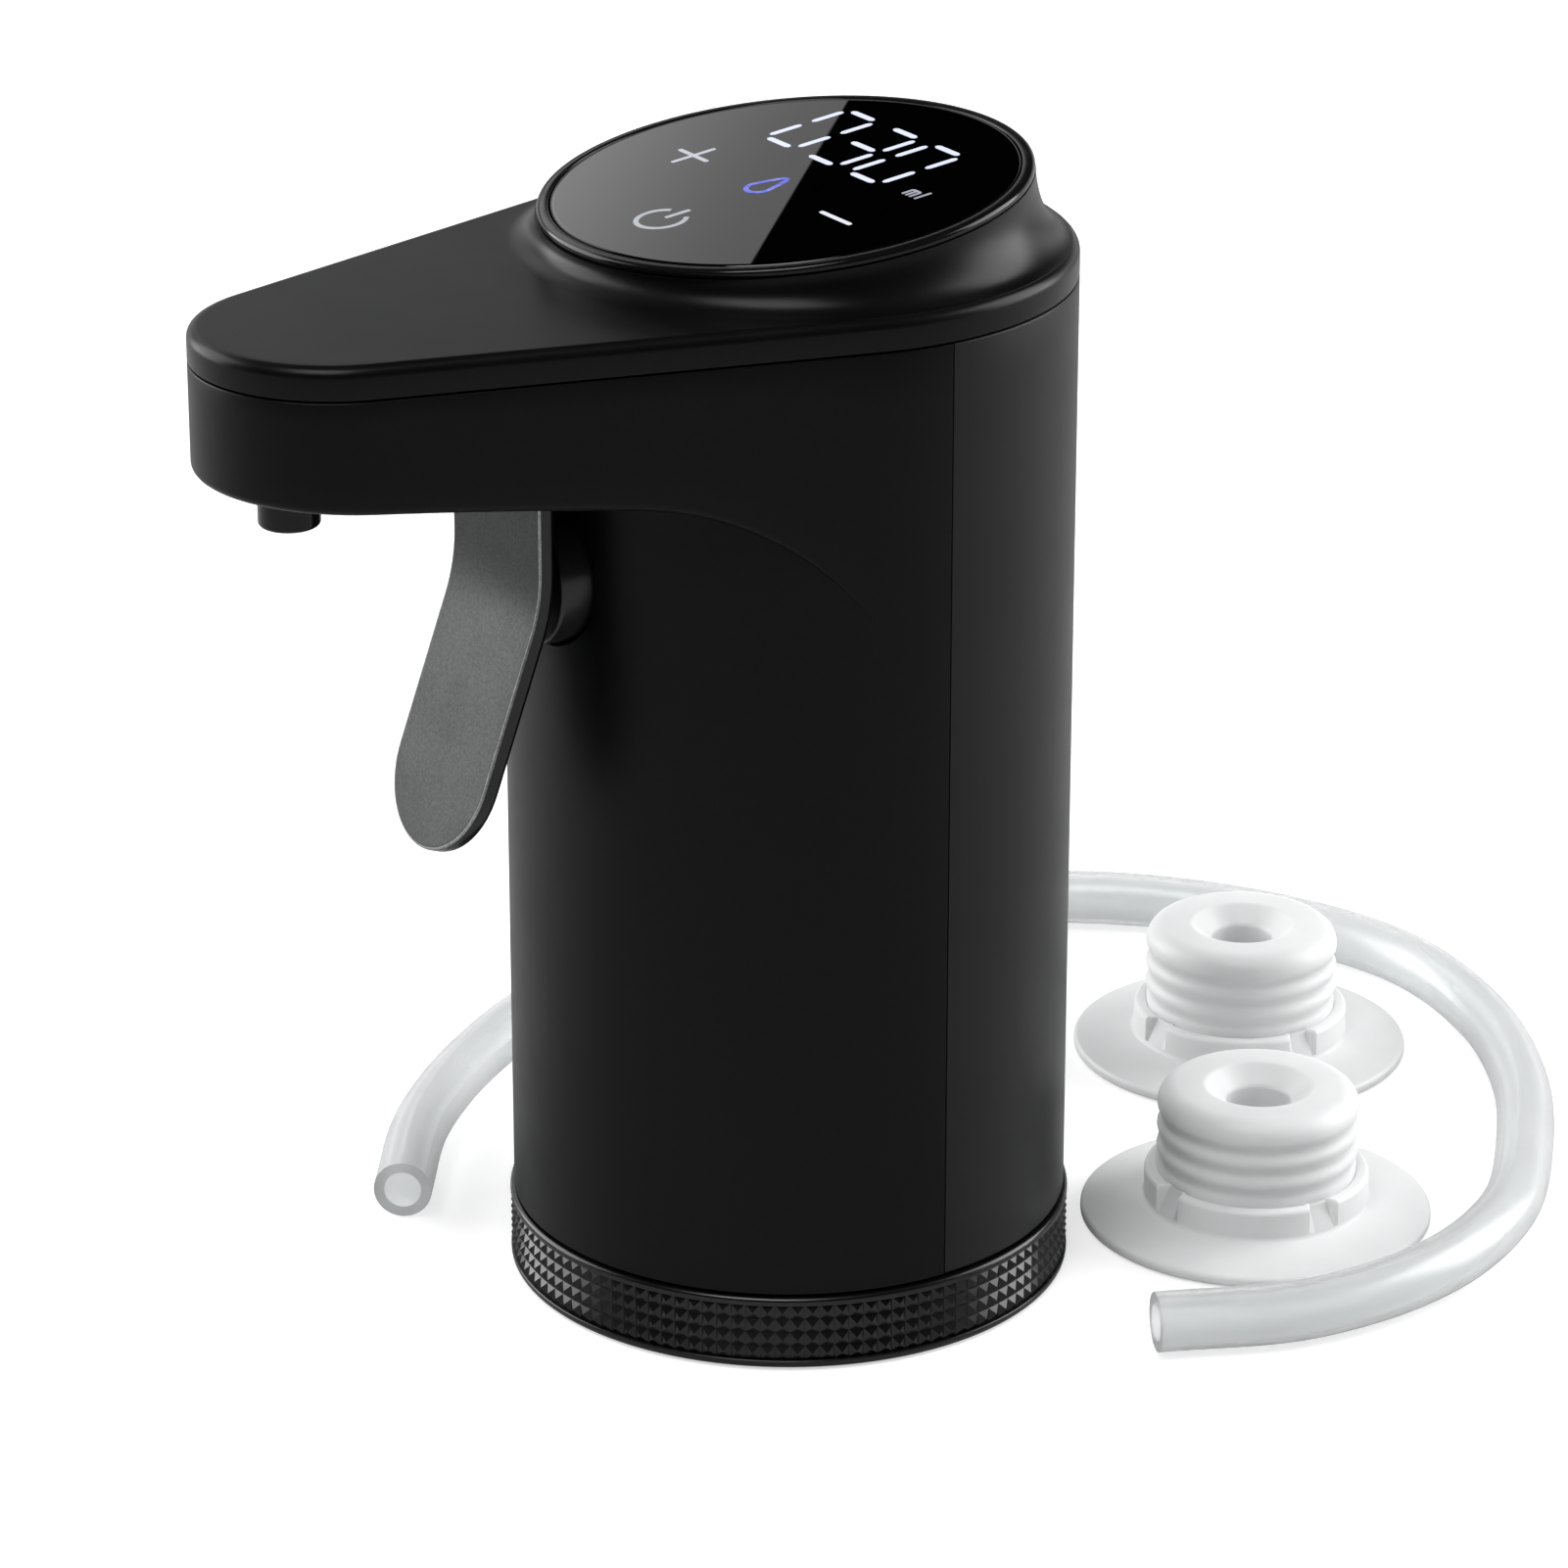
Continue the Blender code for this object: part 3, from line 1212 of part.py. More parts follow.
def plunger_end_y():
    sag = PLUNGER_DOME_R - math.sqrt(PLUNGER_DOME_R ** 2 - PLUNGER_R ** 2)
    return plunger_face_y() - sag - PLUNGER_L - PLUNGER_STEM_L


def switch_z():
    """Underside of the micro switch, whose middle is level with the plunger."""
    return PLUNGER_Z - SWITCH_H / 2


def micro_switch():
    """Switch on its shelf. A hole in its face takes the plunger's stem."""
    front = plunger_end_y() + PLUNGER_STEM_R
    low = (-SWITCH_W / 2, -front, switch_z())
    high = (SWITCH_W / 2, -front + SWITCH_D, switch_z() + SWITCH_H)
    case = block("micro_switch", low, high, inner_plastic())
    hole = rod("switch_hole", PLUNGER_STEM_R + CLEAR, (0, -front - OVERRUN, PLUNGER_Z),
               (0, -plunger_end_y() + SWITCH_TRAVEL + CLEAR, PLUNGER_Z))
    return cut(case, hole)


def battery_cell():
    """Rechargeable cell with its raised contact."""
    top = DECK_Z + CELL_L
    shoulder = CELL_R / 8
    cell = turned("battery_cell", [
        (0, top), (CELL_BUTTON_R, top), (CELL_BUTTON_R, top - CELL_BUTTON_H),
        (CELL_R - shoulder, top - CELL_BUTTON_H), (CELL_R, top - CELL_BUTTON_H - shoulder),
        (CELL_R, DECK_Z), (0, DECK_Z)], cell_wrap(), steps=2 * SMALL_STEPS)
    cell.location = (0, CELL_Y, 0)
    return cell


def cell_band():
    """Rubber band that holds the cell to the rear cover."""
    low = DECK_Z + CELL_L / 2
    inner = CELL_R + CLEAR
    band = turned("cell_band", washer(inner + CELL_BAND_T, inner, low, low + CELL_BAND_H),
                  black_rubber(), steps=2 * SMALL_STEPS, ring=True)
    band.location = (0, CELL_Y, 0)
    front = block("band_front", (-BODY_R, -BODY_R, low - OVERRUN),
                  (BODY_R, FRAME_Y + FRAME_T + CLEAR, low + CELL_BAND_H + OVERRUN))
    rear = turned("band_rear", washer(2 * BODY_R, BODY_R - WALL - CLEAR, low - OVERRUN,
                                      low + CELL_BAND_H + OVERRUN), ring=True)
    return cut(band, front, rear)


def charge_board():
    low = FRAME_TOP_Z + SHELF_T + CLEAR
    return block("charge_board", (-CHARGE_BOARD_W / 2, FRAME_Y + FRAME_T, low),
                 (CHARGE_BOARD_W / 2, FRAME_Y + CHARGE_BOARD_D, low + BOARD_T), board_green())


def charging_port():
    """Metal shell of the charging socket, open at the rear."""
    mouth = BODY_R - PORT_INSET
    shell = charging_slot("charging_port", PORT_W, PORT_H, mouth - PORT_D, mouth, bright_steel())
    inside = charging_slot("port_inside", PORT_W - 2 * PORT_WALL, PORT_H - 2 * PORT_WALL,
                           mouth - PORT_DEPTH, mouth + OVERRUN)
    return cut(shell, inside)


def battery_lead():
    """Wire from the cell's contact up to the charging board."""
    start = Vector((0, CELL_Y, DECK_Z + CELL_L + WIRE_R + CLEAR))
    end = Vector((CHARGE_BOARD_W / 2 + 2 * WIRE_R, CELL_Y, FRAME_TOP_Z + SHELF_T + BOARD_T))
    route = [start, start + Vector((CELL_R / 2, 0, CELL_BUTTON_H)),
             Vector((end.x, CELL_Y, (start.z + end.z) / 2)), end]
    return tube("battery_lead", smooth_route(route, 4 * WIRE_R), WIRE_R, wire_red(), roundness=1)


def dip_tube():
    """Clear silicone tube that goes on the spigot and down to the bottle's floor."""
    route = smooth_route([(x, y, TUBE_R) for x, y in TUBE_ROUTE], TUBE_POINT_STEP)
    return tube("dip_tube", route, TUBE_R, natural_silicone(), roundness=2)


def build():
    display = display_frame()
    front_housing()
    rear_cover()
    top_cover(display)
    display_parts(display)
    base_ring()
    bottle_socket()
    base_gasket()
    stoppers()
    pump_chassis()
    middle_frame()
    for name, x in (("frame_screw_left", -FOOT_X), ("frame_screw_right", FOOT_X)):
        frame_screw(name, x)
    manifold()
    pump_motor()
    pump_shaft()
    pump_housing()
    pump_diaphragm()
    pump_valve_plate()
    air_hose()
    wine_hose()
    nozzle()
    nozzle_elbow()
    trigger_lever()
    pivot_pin()
    return_spring()
    trigger_plunger()
    micro_switch()
    battery_cell()
    cell_band()
    charge_board()
    charging_port()
    battery_lead()
    dip_tube()


build()
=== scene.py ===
"""Looks of an electric wine aerator: its surfaces, finishes, studio and camera round its CAD.

Metres, +Z up. The origin is on the body's axis at the underside of the knurled ring, and the arm
points along -Y. The sections follow the aerator as it is put together.
"""

import math

import bmesh
import bpy
import numpy as np
from mathutils import Matrix, Vector


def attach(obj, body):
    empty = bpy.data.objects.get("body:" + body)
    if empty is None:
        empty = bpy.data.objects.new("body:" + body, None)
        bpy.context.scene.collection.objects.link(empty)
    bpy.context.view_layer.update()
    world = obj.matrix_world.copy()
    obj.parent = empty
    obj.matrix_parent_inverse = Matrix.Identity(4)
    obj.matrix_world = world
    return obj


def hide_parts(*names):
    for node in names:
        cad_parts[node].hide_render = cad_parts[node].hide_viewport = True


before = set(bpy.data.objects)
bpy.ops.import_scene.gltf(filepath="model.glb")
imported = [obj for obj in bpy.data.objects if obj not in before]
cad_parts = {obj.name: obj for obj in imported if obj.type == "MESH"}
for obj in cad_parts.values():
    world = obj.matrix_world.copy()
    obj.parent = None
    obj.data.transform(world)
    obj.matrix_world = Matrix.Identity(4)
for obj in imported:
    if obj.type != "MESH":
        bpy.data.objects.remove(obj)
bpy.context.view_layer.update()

# Camera
# It stands in front of the aerator's right side and a little above, far enough away for the
# flat perspective of a catalogue picture.
CAMERA_TURN = math.radians(56.80)
CAMERA_RISE = math.radians(21.84)
CAMERA_DISTANCE = 0.5131
CAMERA_LENS = 142.8
CAMERA_AIM = (-0.000222, -0.000339, 0.04193)


def direction(turn, rise):
    """The way out from the body at a turn from -Y towards +X and a rise from the level."""
    return Vector((math.sin(turn) * math.cos(rise), -math.cos(turn) * math.cos(rise),
                   math.sin(rise)))


towards_camera = direction(CAMERA_TURN, CAMERA_RISE)
camera = bpy.data.objects.new("camera", bpy.data.cameras.new("camera"))
camera.data.lens = CAMERA_LENS
camera.data.clip_start = 0.01
camera.location = Vector(CAMERA_AIM) + towards_camera * CAMERA_DISTANCE
camera.rotation_euler = towards_camera.to_track_quat("Z", "Y").to_euler()
bpy.context.scene.collection.objects.link(camera)
bpy.context.scene.camera = camera

# Loose wine tube
# The tube that goes down into the bottle: extruded clear silicone, cut square at both ends. It is
# not fitted, so it lies on the table in a loose arc behind the body.
TUBE_R = 0.0025
TUBE_BORE_R = 0.0016
TUBE_ROUTE = (
    (0.0332, 0.0142), (0.0382, 0.0264), (0.0379, 0.0397), (0.0326, 0.0516), (0.0233, 0.0612),
    (0.0122, 0.0697), (-0.0006, 0.0757), (-0.0148, 0.0778), (-0.0284, 0.0735), (-0.0402, 0.0646),
    (-0.0484, 0.0520), (-0.0528, 0.0381), (-0.0532, 0.0228), (-0.0500, 0.0076),
    (-0.0429, -0.0053), (-0.0334, -0.0164), (-0.0223, -0.0249),
)
TUBE_SPAN_STEPS = 10
TUBE_SIDES = 40
WELD = 0.0000008
SMOOTH_BELOW = math.radians(32)
NOISE_LOW, NOISE_HIGH = 0.3, 0.7


def colour(code):
    """Linear red, green, blue and alpha of an sRGB hex code: a 2.4 power with a straight foot."""
    shares = [int(code[i:i + 2], 16) / 255 for i in (1, 3, 5)]
    return (*[s / 12.92 if s <= 0.04045 else ((s + 0.055) / 1.055) ** 2.4 for s in shares], 1.0)


def add(tree, kind, settings=None, sockets=None):
    """Adds a node. Sockets take a value, or a link from another node's output."""
    made = tree.nodes.new("ShaderNode" + kind)
    for name, value in (settings or {}).items():
        setattr(made, name, value)
    for key, value in (sockets or {}).items():
        if isinstance(value, bpy.types.NodeSocket):
            tree.links.new(value, made.inputs[key])
        else:
            made.inputs[key].default_value = value
    return made


def new_material(name):
    """An empty material and its node tree."""
    made = bpy.data.materials.new(name)
    made.use_nodes = True
    made.node_tree.nodes.clear()
    return made, made.node_tree


def finish(name, colours, roughness, cloud, grain=None, flecks=None, relief=None, stretch=None,
           extra=None):
    """A surface with one or two noises laid out on the object, each given as the size of its
    lumps in metres, its detail and its fineness. The cloud runs the roughness between two
    values, over the middle of the noise's range, and the colour between two hex codes. Where
    flecks gives a part of the range, the grain runs the colour over that part. The grain, or
    else the cloud, also stands up as relief, of a depth in metres and a strength."""
    made, tree = new_material(name)
    place = add(tree, "TexCoord").outputs["Object"]
    if stretch:
        place = add(tree, "Mapping", None, {"Vector": place, "Scale": stretch}).outputs[0]
    noises = [add(tree, "TexNoise", None, {
        "Vector": place, "Scale": 1 / size, "Detail": detail, "Roughness": fineness}).outputs["Fac"]
        for size, detail, fineness in filter(None, (cloud, grain))]
    share = noises[0]
    if flecks:
        share = add(tree, "MapRange", None, {
            "Value": noises[-1], "From Min": flecks[0], "From Max": flecks[1]}).outputs["Result"]
    sockets = {
        "Base Color": add(tree, "Mix", {"data_type": "RGBA"}, {
            0: share, 6: colour(colours[0]), 7: colour(colours[1])}).outputs[2],
        "Roughness": add(tree, "MapRange", None, {
            "Value": noises[0], "From Min": NOISE_LOW, "From Max": NOISE_HIGH,
            "To Min": roughness[0], "To Max": roughness[1]}).outputs["Result"]}
    if relief:
        sockets["Normal"] = add(tree, "Bump", None, {
            "Height": noises[-1], "Distance": relief[0], "Strength": relief[1]}).outputs["Normal"]
    shader = add(tree, "BsdfPrincipled", None, sockets | (extra or {}))
    add(tree, "OutputMaterial", None, {"Surface": shader.outputs[0]})
    return made


def grid(points, close_rows=False, close_columns=False):
    """Quads between neighbours in a grid of points (rows, columns, 3). A closed direction joins
    its last points to its first."""
    rows, columns = points.shape[:2]
    row = np.arange(rows if close_rows else rows - 1)[:, None]
    column = np.arange(columns if close_columns else columns - 1)[None, :]
    below = (row + 1) % rows
    beside = (column + 1) % columns
    corners = (row * columns + column, row * columns + beside,
               below * columns + beside, below * columns + column)
    faces = np.stack(np.broadcast_arrays(*corners), axis=-1).reshape(-1, 4)
    return points.reshape(-1, 3), faces


def lid(points):
    """One flat face through a loop of points (count, 3)."""
    return points, np.arange(len(points))[None, :]


def new_piece(name, parts, material, smooth_below=SMOOTH_BELOW):
    """A mesh object from sets of (points, faces): the sets are put together, points that meet
    are welded, and the faces are turned outwards."""
    starts = np.cumsum([0] + [len(points) for points, _ in parts])
    points = np.concatenate([points for points, _ in parts])
    faces = [face for start, (_, quads) in zip(starts, parts) for face in (quads + start).tolist()]
    mesh = bpy.data.meshes.new(name)
    mesh.from_pydata(points.tolist(), [], faces)
    form = bmesh.new()
    form.from_mesh(mesh)
    bmesh.ops.remove_doubles(form, verts=form.verts, dist=WELD)
    bmesh.ops.recalc_face_normals(form, faces=form.faces)
    form.to_mesh(mesh)
    form.free()
    mesh.materials.append(material)
    mesh.shade_smooth()
    mesh.set_sharp_from_angle(angle=smooth_below)
    piece = bpy.data.objects.new(name, mesh)
    bpy.context.scene.collection.objects.link(piece)
    return piece


def curve_through(points, steps):
    """Catmull-Rom curve: each span between two points is a cubic whose slopes at its ends are
    half the distance between their neighbours."""
    knots = np.concatenate([[2 * points[0] - points[1]], points, [2 * points[-1] - points[-2]]])
    t = (np.arange(steps) / steps)[None, :, None]
    before, here, there, after = (knots[i:len(knots) - 3 + i, None, :] for i in range(4))
    spans = 0.5 * (2 * here + (there - before) * t
                   + (2 * before - 5 * here + 4 * there - after) * t ** 2
                   + (3 * here - before - 3 * there + after) * t ** 3)
    return np.concatenate([spans.reshape(-1, points.shape[1]), points[-1:]])


def unit(vectors):
    """Vectors brought to length one, or left at nothing where they have no length."""
    return vectors / np.maximum(np.linalg.norm(vectors, axis=-1, keepdims=True), WELD)


def full_turn(steps):
    """Angles round a whole turn in equal steps."""
    return np.linspace(0, 2 * math.pi, steps, endpoint=False)


def polar(radius, turn):
    """The two coordinates of points at a radius and an angle."""
    return radius * np.cos(turn), radius * np.sin(turn)


def rings_along(route, radius, sides):
    """Circles square to a level route: each is a turn of the sideways and upward directions."""
    up = np.array([0.0, 0.0, 1.0])
    side = np.cross(unit(np.gradient(route, axis=0)), up)
    turn = full_turn(sides)[None, :, None]
    return route[:, None, :] + radius * (np.cos(turn) * side[:, None, :] + np.sin(turn) * up)


tube_points = np.array([(x, y, TUBE_R) for x, y in TUBE_ROUTE])
tube_line = curve_through(tube_points, TUBE_SPAN_STEPS)
tube_outer = rings_along(tube_line, TUBE_R, TUBE_SIDES)
tube_bore = rings_along(tube_line, TUBE_BORE_R, TUBE_SIDES)
tube_wall = np.concatenate([tube_outer, tube_bore[::-1]])
# Clear extruded silicone is see-through but milky, so its walls show as pale grey edges.
clear_silicone = finish("clear_extruded_silicone", ("#eceeef", "#f6f7f7"), (0.19, 0.25),
                        cloud=(0.009, 2.0, 0.5),
                        extra={"IOR": 1.41, "Transmission Weight": 0.72})
wine_tube = new_piece("wine_tube", [grid(tube_wall, close_rows=True, close_columns=True)],
                      clear_silicone)
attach(wine_tube, "loose_tube")
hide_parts("dip_tube")

# Front shell
# The front half of the body and the arm's lower shell are one moulding in ABS, sprayed with
# soft-touch paint. It is screwed to the rear shell at the vertical seams.
BODY_R = 0.0232
WALL = 0.0018
SHELL_LOW_Z = 0.0066
SHELL_TOP_Z = 0.0862
ARM_TIP_R = 0.01164
ARM_REACH = 0.04113
ARM_UNDER_R = 0.4000
FILLET_R = 0.0251
FILLET_Y = 0.0274
FILLET_Z = 0.0503
FILLET_END = math.radians(83.5)
ARM_EDGE = 0.0009
PARTING_EDGE = 0.00014
PARTING_GAP = 0.00006
ARM_LEAN = math.asin((BODY_R - ARM_TIP_R) / ARM_REACH)
ARC_COLUMNS = 12
SIDE_COLUMNS = 30
TIP_COLUMNS = 40
REAR_COLUMNS = 96
RIM_STEPS, WALL_STEPS, EDGE_STEPS, FLOOR_STEPS, BODY_STEPS = 3, 5, 6, 21, 23
SIDE_EASE = 1.4
EDGE_FADE_REACH = 6
EDGE_FADE_EASE = 0.7
INNER_EDGE_SHARE = 0.25
BUTTON_Z = 0.0655
BUTTON_R = 0.0060
BUTTON_GAP = 0.0004
NOZZLE_Y = 0.0459
NOZZLE_R = 0.00245
NOZZLE_GAP = 0.00025
PIVOT_Y = 0.0268
PIVOT_Z = 0.0799
LEVER_W = 0.0134
LEVER_T = 0.0015
SLOT_GAP = 0.0006
SLOT_GAP_BEHIND = 0.0009
SLOT_DEPTH = 0.0065
OVERRUN = 0.002
HOLE_STEPS, SMALL_HOLE_STEPS, PIN_HOLE_STEPS = 72, 48, 32


def soft_touch_black(name, colours, roughness):
    """Soft-touch paint on ABS: a rubbery matt black with hardly any gloss seen straight on and a
    soft sheen seen aslant. It is slightly cloudy from handling, and has a sprayed coat's grain."""
    return finish(name, colours, roughness, cloud=(0.011, 3.0, 0.55), grain=(0.00016, 2.0, 0.5),
                  relief=(0.000012, 0.35), extra={"Specular IOR Level": 0.14})


soft_touch = soft_touch_black("soft_touch_paint", ("#040405", "#070708"), (0.36, 0.42))


def under_arm(y, inset):
    """Height of the arm's underside at a distance y in front of the axis, raised by an inset.
    Near the body it is an arc, and further out a much longer arc that carries on from it."""
    back = ARM_UNDER_R - FILLET_R
    long_y = FILLET_Y + back * math.cos(FILLET_END)
    long_z = FILLET_Z - back * math.sin(FILLET_END)
    far = long_z + np.sqrt((ARM_UNDER_R + inset) ** 2 - (y - long_y) ** 2)
    near = FILLET_Z + np.sqrt(np.maximum((FILLET_R + inset) ** 2 - (FILLET_Y - y) ** 2, 0))
    return np.where(y >= FILLET_Y - (FILLET_R + inset) * math.cos(FILLET_END), far, near)


def teardrop_columns(whole):
    """Columns round the body's outline from its right seam by the arm's tip to the left seam,
    and on round the rear if whole. Each has the angle that its side faces, the share of the way
    from the body's circle to the tip's, and the angle on the body's circle that it leads to."""
    width = math.pi - 2 * ARM_LEAN
    side = ARM_REACH * math.cos(ARM_LEAN)
    tip = ARM_TIP_R * width
    turned_by = width * side / (2 * side + tip)
    eased = np.linspace(0, 1, SIDE_COLUMNS + 1)[1:] ** SIDE_EASE
    knots = [(ARM_LEAN, 0.0, ARM_LEAN), (ARM_LEAN, 1.0, ARM_LEAN + turned_by),
             (ARM_LEAN + width, 1.0, ARM_LEAN + width - turned_by),
             (ARM_LEAN + width, 0.0, ARM_LEAN + width), (math.pi, 0.0, math.pi)]
    shares = [eased, np.linspace(0, 1, TIP_COLUMNS + 1)[1:],
              np.append(1 - eased[:-1][::-1], 1.0), np.linspace(0, 1, ARC_COLUMNS + 1)[1:]]
    spans = [np.outer(np.linspace(0, 1, ARC_COLUMNS + 1), (ARM_LEAN, 0.0, ARM_LEAN))]
    for start, end, share in zip(knots, knots[1:], shares):
        spans.append(np.array(start) + np.outer(share, np.subtract(end, start)))
    if whole:
        rear = np.linspace(math.pi, 2 * math.pi, REAR_COLUMNS + 1)[1:-1]
        spans.append(np.stack([rear, np.zeros_like(rear), rear], axis=1))
    facing, share, inner = np.concatenate(spans).T
    return -facing, share, -inner


def on_outline(facing, share, inset):
    """Points of the teardrop: a circle whose centre and radius slide from the body's to the
    tip's by the share, at the angle that the side faces."""
    x, y = polar(BODY_R + (ARM_TIP_R - BODY_R) * share - inset, facing)
    return x, y - ARM_REACH * share


def rows_of(x, y, z):
    """Three arrays that broadcast to (rows, columns) as one block of grid points."""
    return np.stack(np.broadcast_arrays(x, y, z), axis=-1)


def quarter(steps):
    """Sine and one minus cosine of a quarter turn, as columns, to round an edge."""
    turn = np.linspace(0, math.pi / 2, steps + 1)[:, None]
    return np.sin(turn), 1 - np.cos(turn)


def front_shell_side(inset, edge):
    """The moulding's outer or inner face, from its upper rim down the side, round the lower
    edge, in under the arm to the body and down to the ring. The edge's rounding fades out over
    a few of its own widths where the arm runs into the body."""
    facing, share, inner = teardrop_columns(False)
    inner_x, inner_y = polar(BODY_R - inset, inner)
    x, y = on_outline(facing, share, inset)
    reach = np.hypot(x - inner_x, y - inner_y)
    edge = edge * np.clip(reach / (EDGE_FADE_REACH * edge), 0, 1) ** EDGE_FADE_EASE
    tuck_x, tuck_y = on_outline(facing, share, inset + edge)
    corner = under_arm((BODY_R - inset) * math.sin(ARM_LEAN), inset)
    low = np.where(share > 0, under_arm(-tuck_y, inset), corner)
    sine, rise = quarter(RIM_STEPS)
    rim_x, rim_y = on_outline(facing, share, inset + PARTING_EDGE * rise[::-1])
    rim = rows_of(rim_x, rim_y, SHELL_TOP_Z - PARTING_EDGE * (1 - sine[::-1]))
    fall = np.linspace(0, 1, WALL_STEPS + 1)[1:-1, None]
    top = SHELL_TOP_Z - PARTING_EDGE
    wall = rows_of(x, y, top + (low + edge - top) * fall)
    sine, rise = quarter(EDGE_STEPS)
    round_x, round_y = on_outline(facing, share, inset + edge * rise)
    rounding = rows_of(round_x, round_y, low + edge * (1 - sine))
    way = np.linspace(0, 1, FLOOR_STEPS + 1)[1:, None]
    floor_x = tuck_x + (inner_x - tuck_x) * way
    floor_y = tuck_y + (inner_y - tuck_y) * way
    floor_z = np.where(share > 0, under_arm(-floor_y, inset), corner)
    floor = rows_of(floor_x, floor_y, floor_z)
    drop = np.linspace(0, 1, BODY_STEPS + 1)[1:, None]
    body = rows_of(inner_x, inner_y, floor_z[-1] + (SHELL_LOW_Z - floor_z[-1]) * drop)
    return np.concatenate([rim, wall, rounding, floor, body])


def walled(outer, inner):
    """A closed wall between two grids of the same shape, joined along their four borders."""
    borders = [(outer[0], inner[0]), (outer[-1], inner[-1]),
               (outer[:, 0], inner[:, 0]), (outer[:, -1], inner[:, -1])]
    return [grid(outer), grid(inner)] + [grid(np.stack(pair)) for pair in borders]


def bar(outline, low, high, turn):
    """A flat outline carried from low to high. The turn's columns are the ways that the
    outline's two directions and its depth point in."""
    loops = np.stack([np.column_stack([outline, np.full(len(outline), depth)])
                      for depth in (low, high)]) @ np.array(turn, float).T
    return [grid(loops, close_columns=True), lid(loops[0]), lid(loops[1])]


UPRIGHT = ((1, 0, 0), (0, 1, 0), (0, 0, 1))
ALONG_Y = ((1, 0, 0), (0, 0, 1), (0, 1, 0))
ALONG_X = ((0, 0, 1), (1, 0, 0), (0, 1, 0))


def circle(radius, middle=(0.0, 0.0), steps=HOLE_STEPS):
    """Points round a circle."""
    return np.column_stack(polar(radius, full_turn(steps))) + middle


def rectangle(low, high):
    """Corners of a rectangle between two opposite ones."""
    return np.array([low, (high[0], low[1]), high, (low[0], high[1])])


def carve(piece, operation, *shapes):
    """Cuts shapes out of a piece or joins them to it, and keeps the result as its mesh."""
    tools = [new_piece("tool", shape, piece.data.materials[0]) for shape in shapes]
    for tool in tools:
        step = piece.modifiers.new("carve", "BOOLEAN")
        step.operation = operation
        step.solver = "EXACT"
        step.object = tool
    graph = bpy.context.evaluated_depsgraph_get()
    before = piece.data
    piece.data = bpy.data.meshes.new_from_object(piece.evaluated_get(graph))
    piece.data.name = piece.name
    piece.modifiers.clear()
    bpy.data.meshes.remove(before)
    for tool in tools:
        bpy.data.objects.remove(tool, do_unlink=True)
    piece.data.shade_smooth()
    piece.data.set_sharp_from_angle(angle=SMOOTH_BELOW)
    return piece


def seam_pulled(points, side):
    """Pulls the seam's edges back from the body's middle plane by half of the fine parting gap."""
    moved = points.copy()
    near = np.abs(moved[..., 1]) < PARTING_GAP
    moved[..., 1] = np.where(near, side * PARTING_GAP, moved[..., 1])
    return moved


front_shell = new_piece("front_shell", walled(
    seam_pulled(front_shell_side(0.0, ARM_EDGE), -1),
    seam_pulled(front_shell_side(WALL, ARM_EDGE * INNER_EDGE_SHARE), -1)), soft_touch)
button_hole = bar(circle(BUTTON_R + BUTTON_GAP, (0, BUTTON_Z)), -BODY_R - OVERRUN, -BODY_R / 2,
                  ALONG_Y)
nozzle_hole = bar(circle(NOZZLE_R + NOZZLE_GAP, (0, -NOZZLE_Y), SMALL_HOLE_STEPS), BUTTON_Z,
                  SHELL_TOP_Z - OVERRUN, UPRIGHT)
lever_slot = bar(rectangle((-LEVER_W / 2 - SLOT_GAP, -PIVOT_Y - LEVER_T / 2 - SLOT_GAP),
                           (LEVER_W / 2 + SLOT_GAP, -PIVOT_Y + LEVER_T / 2 + SLOT_GAP_BEHIND)),
                 PIVOT_Z - SLOT_DEPTH, PIVOT_Z, UPRIGHT)
carve(front_shell, "DIFFERENCE", button_hole, nozzle_hole, lever_slot)
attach(front_shell, "housing")
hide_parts("front_housing")

# Rear shell
# The other half of the body, moulded and sprayed like the front, in a clearly lighter black than
# the front's. A slot near its top lets the charging plug in.
PORT_Z = 0.0814
PORT_W = 0.0090
PORT_H = 0.0032
PORT_GAP = 0.0003
PORT_END_FLAT = 0.00002
PORT_END_STEPS = 10


def rear_shell_side(inset):
    """Half a cylinder behind the seams, with its upper and lower rims just rounded."""
    facing = np.linspace(0, math.pi, REAR_COLUMNS + 1)
    sine, rise = quarter(RIM_STEPS)
    radius = BODY_R - inset - PARTING_EDGE * rise[::-1]
    tuck = PARTING_EDGE * (1 - sine[::-1])
    top = rows_of(*polar(radius, facing), SHELL_TOP_Z - tuck)
    fall = np.linspace(0, 1, BODY_STEPS + 1)[1:-1, None]
    height = SHELL_TOP_Z - SHELL_LOW_Z - 2 * PARTING_EDGE
    straight = rows_of(*polar(BODY_R - inset, facing), SHELL_TOP_Z - PARTING_EDGE - height * fall)
    low = top[::-1].copy()
    low[..., 2] = SHELL_TOP_Z + SHELL_LOW_Z - low[..., 2]
    return np.concatenate([top, straight, low])


